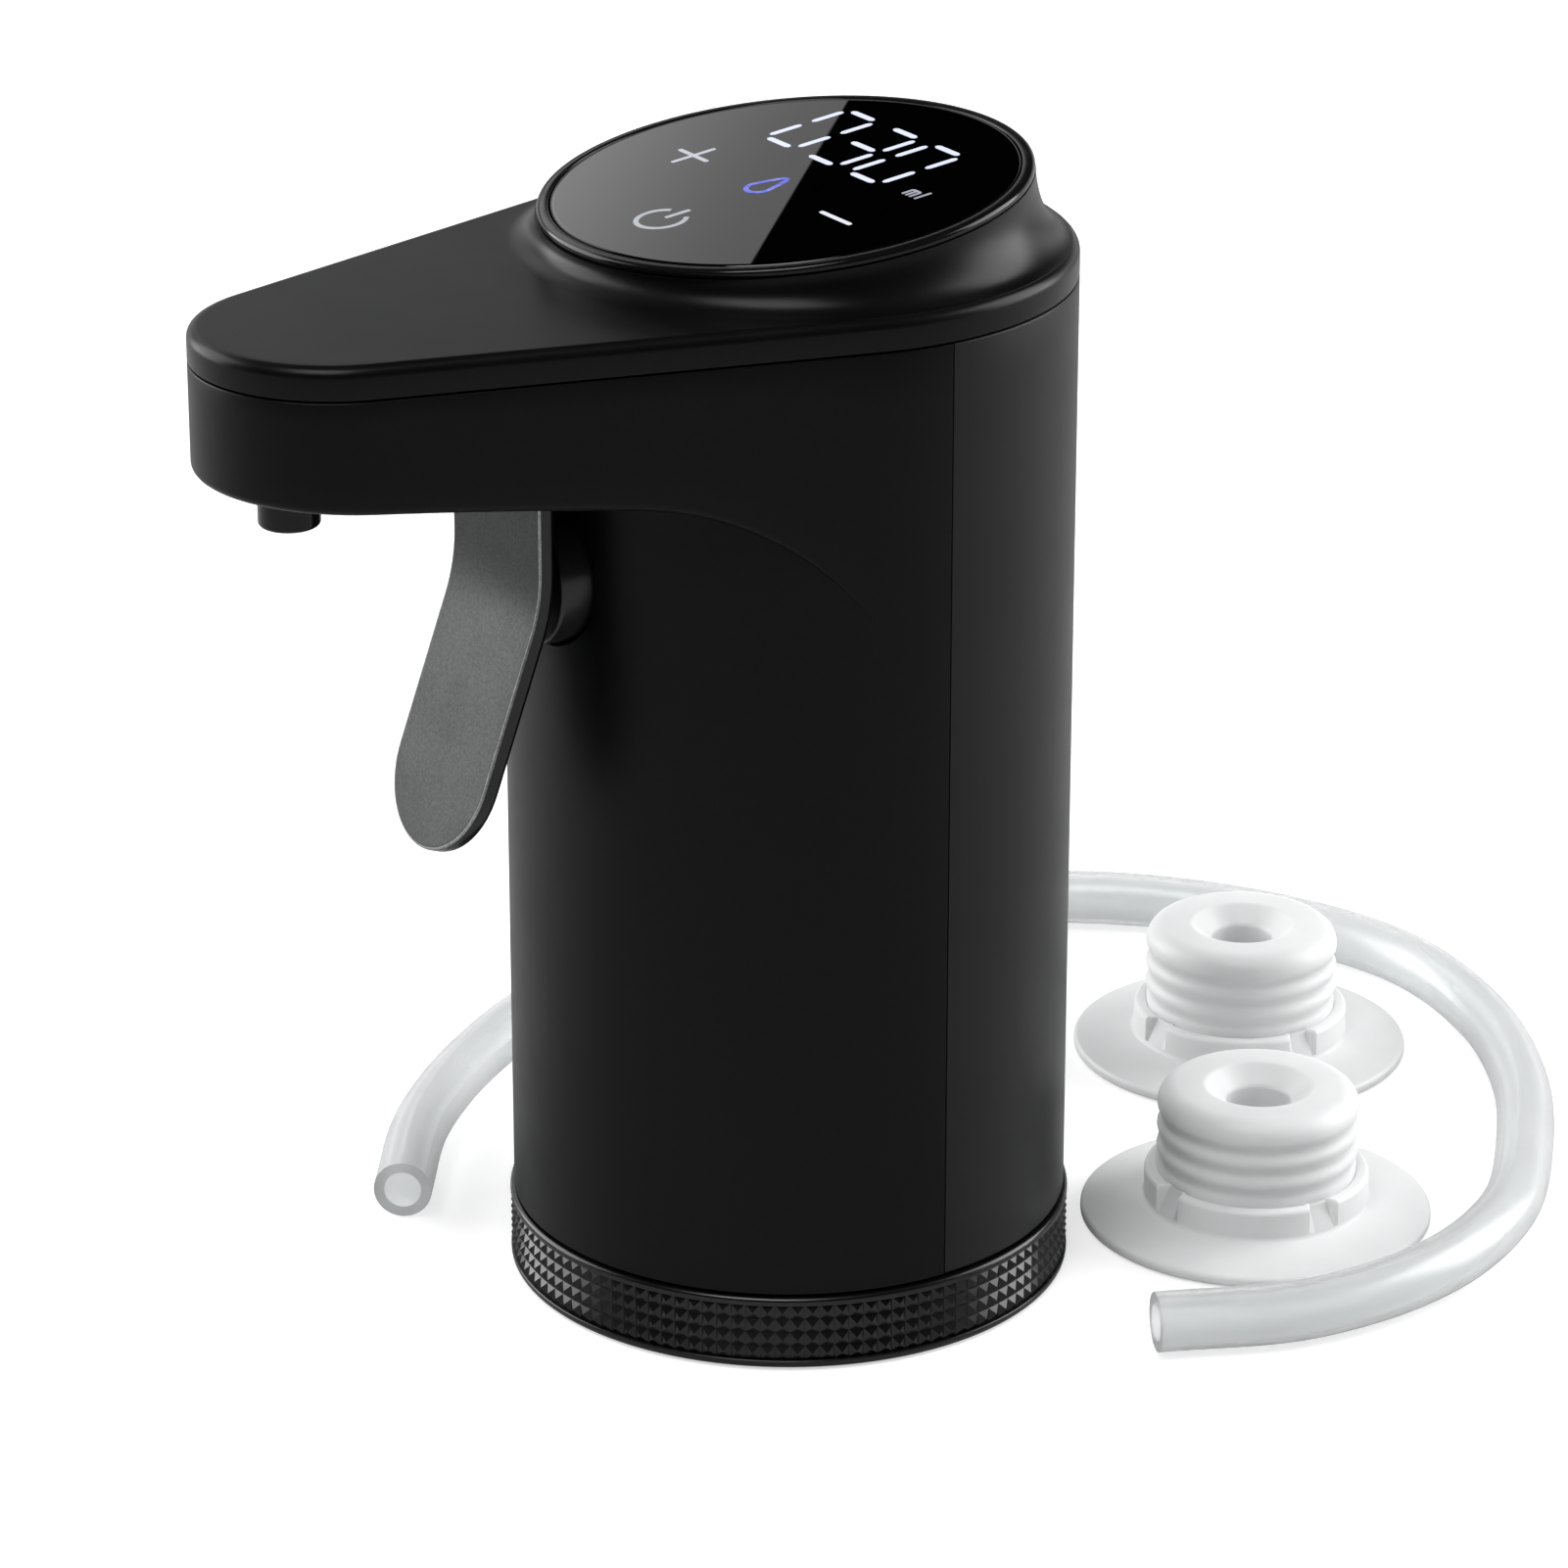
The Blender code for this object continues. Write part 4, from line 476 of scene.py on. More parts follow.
def rounded(corners, steps=5):
    """Points of a polygon of (across, along, rounding) corners. Each corner is an arc that
    touches both sides: its centre is on the corner's bisector."""
    corners = np.asarray(corners, float)
    spot, size = corners[:, :2], corners[:, 2:]
    before = unit(np.roll(spot, 1, axis=0) - spot)
    after = unit(np.roll(spot, -1, axis=0) - spot)
    half = np.arccos(np.clip((before * after).sum(axis=1, keepdims=True), -1, 1)) / 2
    middle = spot + unit(before + after) * size / np.sin(half)
    start = spot + before * size / np.tan(half) - middle
    end = spot + after * size / np.tan(half) - middle
    first = np.arctan2(start[:, 1:], start[:, :1])
    last = np.arctan2(end[:, 1:], end[:, :1])
    swing = (last - first + math.pi) % (2 * math.pi) - math.pi
    turn = first + swing * np.linspace(0, 1, steps + 1)
    arcs = size[:, None, :] * np.stack(polar(1, turn), axis=-1)
    return (middle[:, None, :] + arcs).reshape(-1, 2)


def stadium(width, height, middle_z):
    """A slot's outline: two half circles, a hair short of meeting, joined by straight sides."""
    side, end, radius = width / 2, height / 2, height / 2 - PORT_END_FLAT
    return rounded([(-side, middle_z - end, radius), (side, middle_z - end, radius),
                    (side, middle_z + end, radius), (-side, middle_z + end, radius)],
                   PORT_END_STEPS)


rear_paint = soft_touch_black("soft_touch_paint_rear", ("#1b1b1c", "#202021"), (0.36, 0.42))
rear_shell = new_piece("rear_shell", walled(
    seam_pulled(rear_shell_side(0.0), 1), seam_pulled(rear_shell_side(WALL), 1)), rear_paint)
carve(rear_shell, "DIFFERENCE", bar(
    stadium(PORT_W + 2 * PORT_GAP, PORT_H + 2 * PORT_GAP, PORT_Z), BODY_R / 2, BODY_R + OVERRUN,
    ALONG_Y))
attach(rear_shell, "housing")
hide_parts("rear_cover")

# Top cover
# The lid over body and arm, moulded ABS with the same soft-touch coat, rubbed a little glossier
# by handling. It snaps on the shells, and its flared collar carries the tipped display.
COVER_Z = 0.08634
COVER_TOP_Z = 0.08895
COVER_ROUND = 0.0009
COLLAR_R = 0.0226
COVER_ROUND_STEPS, COVER_TOP_STEPS, COLLAR_STEPS = 10, 13, 16
COVER_TOP_EASE = 1.6
COVER_LEVEL_BY = 0.25
DISPLAY_Y = -0.0004
DISPLAY_Z = 0.0937
DISPLAY_TILT = math.radians(6.5)
BEZEL_R = 0.0199
BEZEL_H = 0.0020
BEZEL_GAP = 0.00012
RING_LIP_H = 0.0006
RING_SEAT_R = 0.0192
OPENING_R = 0.0175


def leaning_ring(angle, radius, share, height):
    """A ring round the body's axis that shifts and tips to the display's plane by a share."""
    x, y = polar(radius, angle)
    return rows_of(x, y + DISPLAY_Y * share, height + y * math.tan(DISPLAY_TILT) * share)


def top_cover_skin():
    """The lid's skin as a closed sleeve: up its side, round the rim, in over the flat top, up
    the collar's cove to its crest, down into the ring's seat, and out again underneath."""
    facing, share, inner = teardrop_columns(True)
    sine, rise = quarter(RIM_STEPS)
    foot_x, foot_y = on_outline(facing, share, PARTING_EDGE * rise[::-1])
    foot = rows_of(foot_x, foot_y, COVER_Z + PARTING_EDGE * (1 - sine[::-1]))
    along = ARM_REACH * math.cos(ARM_LEAN) * share
    meets = BODY_R - np.sqrt(np.maximum(COLLAR_R ** 2 - along ** 2, 0))
    deepest = np.where(share < 1, np.minimum(COVER_ROUND, np.maximum(meets, 0)), COVER_ROUND)
    last = np.arccos(1 - deepest / COVER_ROUND)
    turn = last * np.linspace(0, 1, COVER_ROUND_STEPS + 1)[:, None]
    rim_x, rim_y = on_outline(facing, share, COVER_ROUND * (1 - np.cos(turn)))
    rim = rows_of(rim_x, rim_y, COVER_TOP_Z - COVER_ROUND * (1 - np.sin(turn)))
    way = np.linspace(0, 1, COVER_TOP_STEPS + 1)[1:, None] ** COVER_TOP_EASE
    cove_x, cove_y = polar(COLLAR_R, inner)
    flat_x = rim_x[-1] + (cove_x - rim_x[-1]) * way
    flat_y = rim_y[-1] + (cove_y - rim_y[-1]) * way
    start = rim[-1, :, 2]
    flat = rows_of(flat_x, flat_y,
                   start + (COVER_TOP_Z - start) * np.minimum(way / COVER_LEVEL_BY, 1))
    crest = DISPLAY_Z - RING_LIP_H - BEZEL_GAP
    turn = math.pi / 2 * np.linspace(0, 1, COLLAR_STEPS + 1)[1:, None]
    lean = 1 - np.cos(turn)
    cove_r = BEZEL_R + (COLLAR_R - BEZEL_R) * (1 - np.sin(turn))
    cove = leaning_ring(inner, cove_r, lean, COVER_TOP_Z + (crest - COVER_TOP_Z) * lean)
    seat_top = DISPLAY_Z - BEZEL_H - BEZEL_GAP
    seat = [leaning_ring(inner, np.array([[radius]]), 1.0, height)
            for radius, height in ((RING_SEAT_R, crest), (RING_SEAT_R, seat_top),
                                   (OPENING_R, seat_top))]
    under = leaning_ring(inner, np.array([[OPENING_R]]), 0.0, COVER_Z)
    return np.concatenate([foot, rim, flat, cove, *seat, under])


lid_paint = soft_touch_black("soft_touch_paint_lid", ("#070708", "#0b0b0c"), (0.28, 0.34))
lid_cover = new_piece("lid_cover", [grid(top_cover_skin(), True, True)], lid_paint)
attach(lid_cover, "housing")
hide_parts("top_cover")

# Display ring
# A thin ring in piano-black ABS that frames the glass. It is polished in the mould, and its lip
# lies on the collar's crest, with a tenon glued in the collar's seat.
BEZEL_RIM = 0.0010
BEZEL_LEDGE = 0.0014
BEZEL_TOP_EDGE = 0.00032
BEZEL_LIP_EDGE = 0.0001
BEZEL_INNER_EDGE = 0.00016
GLASS_T = 0.0011
GLUE_T = 0.0003
RING_STEPS = 144


def turned(profile, steps=RING_STEPS):
    """A profile of (radius, height) pairs carried round the Z axis in equal steps."""
    radius, height = np.asarray(profile, float).T[..., None]
    return rows_of(*polar(radius, full_turn(steps)), height)


def on_display(points):
    """Points given in the display's own plane, tipped about X and lifted to the display."""
    tip = np.array(Matrix.Rotation(DISPLAY_TILT, 3, "X"))
    return points @ tip.T + (0, DISPLAY_Y, DISPLAY_Z)


# Piano-black ABS, moulded in a polished tool, is deep black with a mirror gloss and very fine
# wipe marks.
gloss_black = finish("piano_black_abs", ("#0a0a0b", "#101011"), (0.10, 0.17),
                     cloud=(0.0025, 4.0, 0.6), relief=(0.00001, 0.10),
                     extra={"Specular IOR Level": 0.24})
bezel_inner = BEZEL_R - BEZEL_RIM
ledge_r = bezel_inner - BEZEL_LEDGE
ledge_z = -GLASS_T - GLUE_T
tenon_r = RING_SEAT_R - BEZEL_GAP
bezel_profile = rounded([
    (BEZEL_R, 0, BEZEL_TOP_EDGE), (BEZEL_R, -RING_LIP_H, BEZEL_LIP_EDGE),
    (tenon_r, -RING_LIP_H, 0),
    (tenon_r, -BEZEL_H, 0), (ledge_r, -BEZEL_H, 0), (ledge_r, ledge_z, 0),
    (bezel_inner, ledge_z, 0), (bezel_inner, 0, BEZEL_INNER_EDGE)])
display_ring = new_piece("display_ring", [
    grid(on_display(turned(bezel_profile)), True, True)], gloss_black)
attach(display_ring, "housing")
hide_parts("display_bezel")

# Display glass
# A round pane of tinted hardened glass, flush with its ring and glued on the ledge. The touch
# keys are behind it.
GLASS_R = BEZEL_R - BEZEL_RIM - BEZEL_GAP
GLASS_EDGE = 0.00018
GLASS_EDGE_STEPS = 5

# Tinted glass over a black mask is a flat black mirror to the eye, with faint smears.
glass_finish = finish("tinted_display_glass", ("#020203", "#040405"), (0.002, 0.008),
                      cloud=(0.006, 4.0, 0.6), extra={"IOR": 1.52})
glass_corners = rounded([
    (GLASS_R, 0, GLASS_EDGE), (GLASS_R, -GLASS_T, GLASS_EDGE / 2), (0, -GLASS_T, 0), (0, 0, 0)],
    GLASS_EDGE_STEPS)
glass_edge = glass_corners[:2 * (GLASS_EDGE_STEPS + 1)]
glass_flat_r = GLASS_R - 2 * GLASS_EDGE
glass_profile = np.concatenate([
    [(0, 0), (glass_flat_r, 0)], glass_edge, [(glass_flat_r, -GLASS_T), (0, -GLASS_T)]])
display_pane = new_piece("display_pane", [
    grid(on_display(turned(glass_profile)), close_columns=True)], glass_finish)
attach(display_pane, "housing")
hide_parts("display_glass")

# Display marks
# Lit segments and key signs. On the real display light-emitting diodes shine through thin
# openings in the pane's black mask. Here each opening is a flat lit plate on the pane.
MARK_LOW = -0.00004
MARK_TOP = 0.00003
DIGIT_W = 0.0042
DIGIT_LOW_Y = 0.0045
DIGIT_TOP_Y = 0.0127
DIGIT_LEFTS = (-0.0098, -0.0037, 0.0023)
DIGIT_SEGMENTS = ("abcdef", "abcdg", "abcdef")
SEGMENT_W = 0.00057
SEGMENT_GAP = 0.00055
BLUNT_END = 0.7
POINTED_END = 0.45
SHORTEST_TAPER = 0.05
KEY_LINE = 0.00042
SIGN_STEPS, DROP_STEPS = 40, 60
PLUS_PLACE = (-0.0104, -0.0020)
MINUS_PLACE = (0.0104, -0.0021)
KEY_SIGN_W = 0.0042
POWER_PLACE = (0.0001, -0.01175)
POWER_R = 0.0020
POWER_ARC = (125, 415)
POWER_BAR = (0.2, 1.35)
DROP_PLACE = (0.0, -0.0024)
DROP_R = 0.0011
DROP_H = 0.0026
DROP_OPEN = 0.04
DROP_NARROWS = 0.25
DROP_POINT = 1.6
UNIT_PLACE = (0.0098, 0.0046)
UNIT_H, UNIT_STEP, UNIT_LINE = 0.0011, 0.0005, 0.00024
UNIT_BAR_AT, UNIT_BAR_H = 3.4, 1.5


def lit(name, code, strength):
    """Light from a diode behind a diffusing film: even, with faint paler blotches."""
    made, tree = new_material(name)
    film = add(tree, "TexNoise", None, {
        "Vector": add(tree, "TexCoord").outputs["Object"], "Scale": 1 / 0.0008}).outputs["Fac"]
    share = add(tree, "MapRange", None, {
        "Value": film, "From Min": NOISE_LOW, "From Max": NOISE_HIGH,
        "To Max": 0.25}).outputs["Result"]
    shader = add(tree, "BsdfPrincipled", None, {
        "Base Color": colour("#202226"),
        "Roughness": 0.3,
        "Emission Color": add(tree, "Mix", {"data_type": "RGBA"}, {
            0: share, 6: colour(code), 7: colour("#ffffff")}).outputs[2],
        "Emission Strength": strength})
    add(tree, "OutputMaterial", None, {"Surface": shader.outputs[0]})
    return made


def stroke(path, width):
    """A thin flat bar along a path (count, 2) in the display's plane. Its section is a box as
    wide as asked at each point, square to the path."""
    path = np.asarray(path, float)
    ahead = unit(np.gradient(path, axis=0))
    side = np.column_stack([-ahead[:, 1], ahead[:, 0]]) * np.broadcast_to(
        np.asarray(width, float), len(path))[:, None] / 2
    left, right = path + side, path - side
    section = np.stack([
        np.column_stack([edge, np.full(len(path), height)])
        for edge, height in ((left, MARK_TOP), (right, MARK_TOP), (right, MARK_LOW),
                             (left, MARK_LOW))], axis=1)
    section = on_display(section)
    return [grid(section, close_columns=True), lid(section[0]), lid(section[-1])]


def line(start, end, width, taper=0.0):
    """A straight stroke whose two ends narrow over a taper's length."""
    start, end = np.array(start, float), np.array(end, float)
    length = np.linalg.norm(end - start)
    narrow = max(taper / length, SHORTEST_TAPER)
    tip = POINTED_END if taper else BLUNT_END
    return stroke(start + np.outer((0, narrow, 1 - narrow, 1), end - start),
                  width * np.array([tip, 1, 1, tip]))


def seven_segments(left, names):
    """The lit bars of one digit. The bars a, g and d lie across, and b, c, e and f upright."""
    right = left + DIGIT_W
    middle = (DIGIT_LOW_Y + DIGIT_TOP_Y) / 2
    gap = SEGMENT_GAP
    ends = {
        "a": ((left + gap, DIGIT_TOP_Y), (right - gap, DIGIT_TOP_Y)),
        "g": ((left + gap, middle), (right - gap, middle)),
        "d": ((left + gap, DIGIT_LOW_Y), (right - gap, DIGIT_LOW_Y)),
        "b": ((right, middle + gap), (right, DIGIT_TOP_Y - gap)),
        "c": ((right, DIGIT_LOW_Y + gap), (right, middle - gap)),
        "e": ((left, DIGIT_LOW_Y + gap), (left, middle - gap)),
        "f": ((left, middle + gap), (left, DIGIT_TOP_Y - gap))}
    return [part for name in names for part in line(*ends[name], SEGMENT_W, SEGMENT_W / 2)]


def cross_line(place, angle):
    """One bar of a plus or minus sign, centred on a place."""
    way = np.array([math.cos(angle), math.sin(angle)]) * KEY_SIGN_W / 2
    return line(np.subtract(place, way), np.add(place, way), KEY_LINE)


def power_sign():
    """An open circle with a short bar in its gap."""
    turn = np.linspace(*np.radians(POWER_ARC), SIGN_STEPS)
    ring = np.column_stack(polar(POWER_R, turn)) + POWER_PLACE
    x, y = POWER_PLACE
    low, high = (y + share * POWER_R for share in POWER_BAR)
    return stroke(ring, KEY_LINE) + line((x, low), (x, high), KEY_LINE)


def drop_sign():
    """A falling drop: a circle below, whose upper half narrows to a point as a sine's power."""
    turn = np.linspace(math.pi / 2 + DROP_OPEN, 2.5 * math.pi - DROP_OPEN, DROP_STEPS)
    rise = np.maximum(np.sin(turn), 0)
    across = DROP_R * np.cos(turn) * (1 - DROP_NARROWS * rise)
    along = np.where(rise > 0, DROP_H * rise ** DROP_POINT, DROP_R * np.sin(turn))
    return stroke(np.column_stack([across, along]) + DROP_PLACE, KEY_LINE)


def unit_sign():
    """Two small arches and a bar, as small as the unit mark beside a reading."""
    x, y = UNIT_PLACE
    places = [(i * UNIT_STEP, 0, i * UNIT_STEP, UNIT_H) for i in (0, 1, 2)]
    places.append((0, UNIT_H, 2 * UNIT_STEP, UNIT_H))
    places.append((UNIT_BAR_AT * UNIT_STEP, 0, UNIT_BAR_AT * UNIT_STEP, UNIT_BAR_H * UNIT_H))
    return [part for x1, y1, x2, y2 in places
            for part in line((x + x1, y + y1), (x + x2, y + y2), UNIT_LINE)]


mark_parts = {
    "display_digits": ([part for left, names in zip(DIGIT_LEFTS, DIGIT_SEGMENTS)
                        for part in seven_segments(left, names)],
                       ("cool_white_led", "#e4eaff", 1.0)),
    "display_plus": (cross_line(PLUS_PLACE, 0.0) + cross_line(PLUS_PLACE, math.pi / 2),
                     ("plus_led", "#d6dae6", 0.80)),
    "display_minus": (cross_line(MINUS_PLACE, 0.0), ("minus_led", "#e6e9f2", 1.0)),
    "display_power": (power_sign(), ("power_led", "#d0d4de", 0.70)),
    "display_drop": (drop_sign(), ("blue_led", "#5a62ee", 0.85)),
    "display_unit": (unit_sign(), ("unit_led", "#b9bccb", 0.7)),
}
for name, (parts, (led, code, strength)) in mark_parts.items():
    mark = new_piece(name, parts, lit(led, code, strength))
    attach(mark, "housing")

# Knurled base ring
# The ring that twists the bottle socket off for cleaning: ABS with four rows of small moulded
# pyramids between two smooth bands, left unpainted for grip.
RING_R = 0.02355
RING_H = 0.0063
RING_BAND = 0.0007
KNURL_DEPTH = 0.00035
KNURL_COLUMNS = 120
KNURL_ROWS = 4
SOCKET_R = 0.0156
CHASSIS_R = 0.0211
RING_SPIGOT_H = 0.0027
RING_BAND_EDGE = 0.00012
RING_TOP_EDGE = 0.00035
RING_FOOT_EDGE = 0.0004
SPIGOT_EDGE = 0.0002
KNURL_SHARP_ABOVE = math.radians(25)


def moulded_black(name, colours):
    """Bare black ABS from a satin tool: a little glossier than the paint, so that each small
    face of the knurl catches the light by itself."""
    return finish(name, colours, (0.21, 0.26), cloud=(0.007, 2.0, 0.5),
                  grain=(0.0002, 2.0, 0.5), relief=(0.00001, 0.3),
                  extra={"Specular IOR Level": 0.42})


def knurl(floor, low, high):
    """Pyramids on a cylinder: the corners of square cells lie on its floor, and each cell's
    middle is raised and joined to its four corners."""
    pitch = 2 * math.pi / KNURL_COLUMNS
    turn = np.arange(KNURL_COLUMNS) * pitch
    height = np.linspace(low, high, KNURL_ROWS + 1)[:, None]
    corners = rows_of(*polar(floor, turn), height)
    half_row = (high - low) / KNURL_ROWS / 2
    peaks = rows_of(*polar(floor + KNURL_DEPTH, turn + pitch / 2), height[:-1] + half_row)
    points = np.concatenate([corners.reshape(-1, 3), peaks.reshape(-1, 3)])
    row, column = np.meshgrid(np.arange(KNURL_ROWS), np.arange(KNURL_COLUMNS), indexing="ij")
    beside = (column + 1) % KNURL_COLUMNS
    cell = [row * KNURL_COLUMNS + column, row * KNURL_COLUMNS + beside,
            (row + 1) * KNURL_COLUMNS + beside, (row + 1) * KNURL_COLUMNS + column]
    top = len(corners) * KNURL_COLUMNS + row * KNURL_COLUMNS + column
    sides = [np.stack([cell[i], cell[(i + 1) % 4], top], axis=-1) for i in range(4)]
    return points, np.concatenate([side.reshape(-1, 3) for side in sides])


satin_black = moulded_black("satin_moulded_abs", ("#070708", "#0b0b0c"))
knurl_floor = RING_R - KNURL_DEPTH
ring_profile = np.concatenate([
    [(knurl_floor, RING_H - RING_BAND)],
    rounded([(knurl_floor, RING_H - RING_BAND, 0), (RING_R, RING_H - RING_BAND, RING_BAND_EDGE),
             (RING_R, RING_H, RING_TOP_EDGE), (CHASSIS_R, RING_H, 0),
             (CHASSIS_R, RING_H + RING_SPIGOT_H, SPIGOT_EDGE),
             (SOCKET_R, RING_H + RING_SPIGOT_H, SPIGOT_EDGE), (SOCKET_R, 0, RING_FOOT_EDGE),
             (RING_R, 0, RING_FOOT_EDGE), (RING_R, RING_BAND, RING_BAND_EDGE),
             (knurl_floor, RING_BAND, 0)])])
knurled_ring = new_piece("knurled_ring", [
    grid(turned(ring_profile, KNURL_COLUMNS), close_columns=True),
    knurl(knurl_floor, RING_BAND, RING_H - RING_BAND)], satin_black, KNURL_SHARP_ABOVE)
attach(knurled_ring, "base")
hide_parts("base_ring")

# Nozzle
# The short spout that the wine leaves by: a gloss ABS ring with its bore through it, held in the
# arm's floor by a flange.
NOZZLE_BORE_R = 0.0015
NOZZLE_DROP = 0.0036
NOZZLE_FLANGE_R = 0.0034
NOZZLE_FLANGE_T = 0.0010
NOZZLE_FLANGE_GAP = 0.0003
NOZZLE_TIP_EDGE = 0.0004
NOZZLE_BORE_EDGE = 0.0003
NOZZLE_STEPS = 64

nozzle_low = float(under_arm(np.array(NOZZLE_Y), 0.0)) - NOZZLE_DROP
nozzle_floor = (float(under_arm(np.array(NOZZLE_Y + NOZZLE_FLANGE_R), 0.0)) + WALL
                + NOZZLE_FLANGE_GAP)
nozzle_top = nozzle_floor + NOZZLE_FLANGE_T
nozzle_profile = rounded([
    (NOZZLE_FLANGE_R, nozzle_top, 0), (NOZZLE_FLANGE_R, nozzle_floor, 0),
    (NOZZLE_R, nozzle_floor, 0), (NOZZLE_R, nozzle_low, NOZZLE_TIP_EDGE),
    (NOZZLE_BORE_R, nozzle_low, NOZZLE_BORE_EDGE), (NOZZLE_BORE_R, nozzle_top, 0)])
spout = new_piece("pouring_spout", [
    grid(turned(nozzle_profile, NOZZLE_STEPS) + (0, -NOZZLE_Y, 0), True, True)], gloss_black)
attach(spout, "housing")
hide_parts("nozzle")

# Trigger lever
# The bent lever that starts the pump. Moulded ABS with a graphite metallic coat on its front,
# a painted highlight of much lighter coat on the fine front edge, and bare black sides.
# It hangs on a steel pin.
LEVER_BEND_Z = 0.0649
LEVER_BEND_R = 0.0160
LEVER_SPLAY = math.radians(20.5)
LEVER_BOTTOM_Z = 0.0441
LEVER_FRONT_EDGE = 0.00022
LEVER_BACK_EDGE = 0.00050
LEVER_HUB_R = 0.0024
PIN_R = 0.0009
PIN_CLEAR = 0.0003
FLAT_FRONT = 0.985
EDGE_FRONT = 0.30
LEVER_SIDE_COLUMNS = 44
LEVER_END_COLUMNS = 36
LEVER_EDGE_STEPS = 4
LEVER_STRAIGHT = PIVOT_Z - LEVER_BEND_Z - LEVER_BEND_R * math.tan(LEVER_SPLAY / 2)


def graphite_coat(name, colours):
    """Graphite metallic paint: a fine sparkle of aluminium flakes in dark grey, here drawn
    slightly coarser than the real flakes so that it shows."""
    return finish(name, colours, (0.38, 0.44), cloud=(0.005, 2.0, 0.5),
                  grain=(0.00024, 3.0, 0.7), flecks=(0.38, 0.64), relief=(0.00001, 0.4),
                  extra={"Metallic": 0.8})


def lever_bent(points):
    """Bends a flat lever (across, down, forward) along its path: straight, an arc, straight."""
    across, down, forward = np.moveaxis(points, -1, 0)
    turn = np.clip((down - LEVER_STRAIGHT) / LEVER_BEND_R, 0, LEVER_SPLAY)
    rest = np.maximum(down - LEVER_STRAIGHT - LEVER_BEND_R * LEVER_SPLAY, 0)
    y = -PIVOT_Y - LEVER_BEND_R * (1 - np.cos(turn)) - rest * np.sin(turn)
    z = (PIVOT_Z - np.minimum(down, LEVER_STRAIGHT) - LEVER_BEND_R * np.sin(turn)
         - rest * np.cos(turn))
    return rows_of(across, y - forward * np.cos(turn), z + forward * np.sin(turn))


def lever_length():
    """Length of the lever's middle plane from the pin to its round end."""
    bend_low = PIVOT_Z - LEVER_STRAIGHT - LEVER_BEND_R * math.sin(LEVER_SPLAY)
    return (LEVER_STRAIGHT + LEVER_BEND_R * LEVER_SPLAY
            + (bend_low - LEVER_BOTTOM_Z) / math.cos(LEVER_SPLAY))


def lever_blade():
    """Columns run down one side, round the end and up the other, and rows from the front's
    middle line over the edge to the back's. The faces are ruled to the lever's spine."""
    half = LEVER_W / 2
    spine = lever_length() - half
    down = np.linspace(0, spine, LEVER_SIDE_COLUMNS + 1)
    sweep = np.linspace(0, math.pi, LEVER_END_COLUMNS + 1)[1:-1]
    out_x = np.concatenate([np.ones_like(down), np.cos(sweep), -np.ones_like(down)])
    out_y = np.concatenate([np.zeros_like(down), np.sin(sweep), np.zeros_like(down)])
    base_y = np.concatenate([down, np.full_like(sweep, spine), down[::-1]])
    front, back = LEVER_T / 2, -LEVER_T / 2
    sine, rise = quarter(LEVER_EDGE_STEPS)
    fine = LEVER_FRONT_EDGE
    soft = LEVER_BACK_EDGE
    inset = np.concatenate([
        [half, half / 2, 2 * fine, fine], fine * (1 - sine[1:, 0]), soft * rise[:, 0],
        [2 * soft, half / 2, half]])
    level = np.concatenate([
        [front, front, front, front], front - fine * rise[1:, 0], back + soft * (1 - sine[:, 0]),
        [back, back, back]])
    radius = half - inset[:, None]
    flat = rows_of(out_x * radius, base_y + out_y * radius, level[:, None])
    points = lever_bent(flat)
    edge = np.concatenate([points[:, 0], points[::-1, -1]])
    return [grid(points), lid(edge)]


def coat_front(piece):
    """Gives the faces that look along the lever's front the coat, and its fine edge a much lighter
    copy of the coat as a painted highlight. A face's share is the cosine between it and the bent
    lever's front at its height."""
    mesh = piece.data
    count = len(mesh.polygons)
    normals, middles = np.empty(3 * count), np.empty(3 * count)
    mesh.polygons.foreach_get("normal", normals)
    mesh.polygons.foreach_get("center", middles)
    normals, middles = normals.reshape(-1, 3), middles.reshape(-1, 3)
    below_bend = PIVOT_Z - LEVER_STRAIGHT - middles[:, 2]
    turn = np.arcsin(np.clip(below_bend / LEVER_BEND_R, 0, math.sin(LEVER_SPLAY)))
    share = normals[:, 2] * np.sin(turn) - normals[:, 1] * np.cos(turn)
    slots = np.where(share > FLAT_FRONT, 1, np.where(share > EDGE_FRONT, 2, 0)).astype(np.int32)
    mesh.polygons.foreach_set("material_index", slots)


lever = new_piece("lever_blade", lever_blade(), satin_black)
# The second coat is the same graphite made much lighter: a painted highlight along the front edge.
for name, colours in (("graphite_metallic_paint", ("#222323", "#353636")),
                      ("graphite_paint_edge_highlight", ("#858686", "#a9aaaa"))):
    lever.data.materials.append(graphite_coat(name, colours))
coat_front(lever)
pin_place = (-PIVOT_Y, PIVOT_Z)
carve(lever, "UNION", bar(
    circle(LEVER_HUB_R, pin_place, SMALL_HOLE_STEPS), -LEVER_W / 2, LEVER_W / 2, ALONG_X))
carve(lever, "DIFFERENCE", bar(
    circle(PIN_R + PIN_CLEAR, pin_place, PIN_HOLE_STEPS), -LEVER_W / 2 - OVERRUN,
    LEVER_W / 2 + OVERRUN, ALONG_X))
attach(lever, "trigger")
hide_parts("trigger_lever")
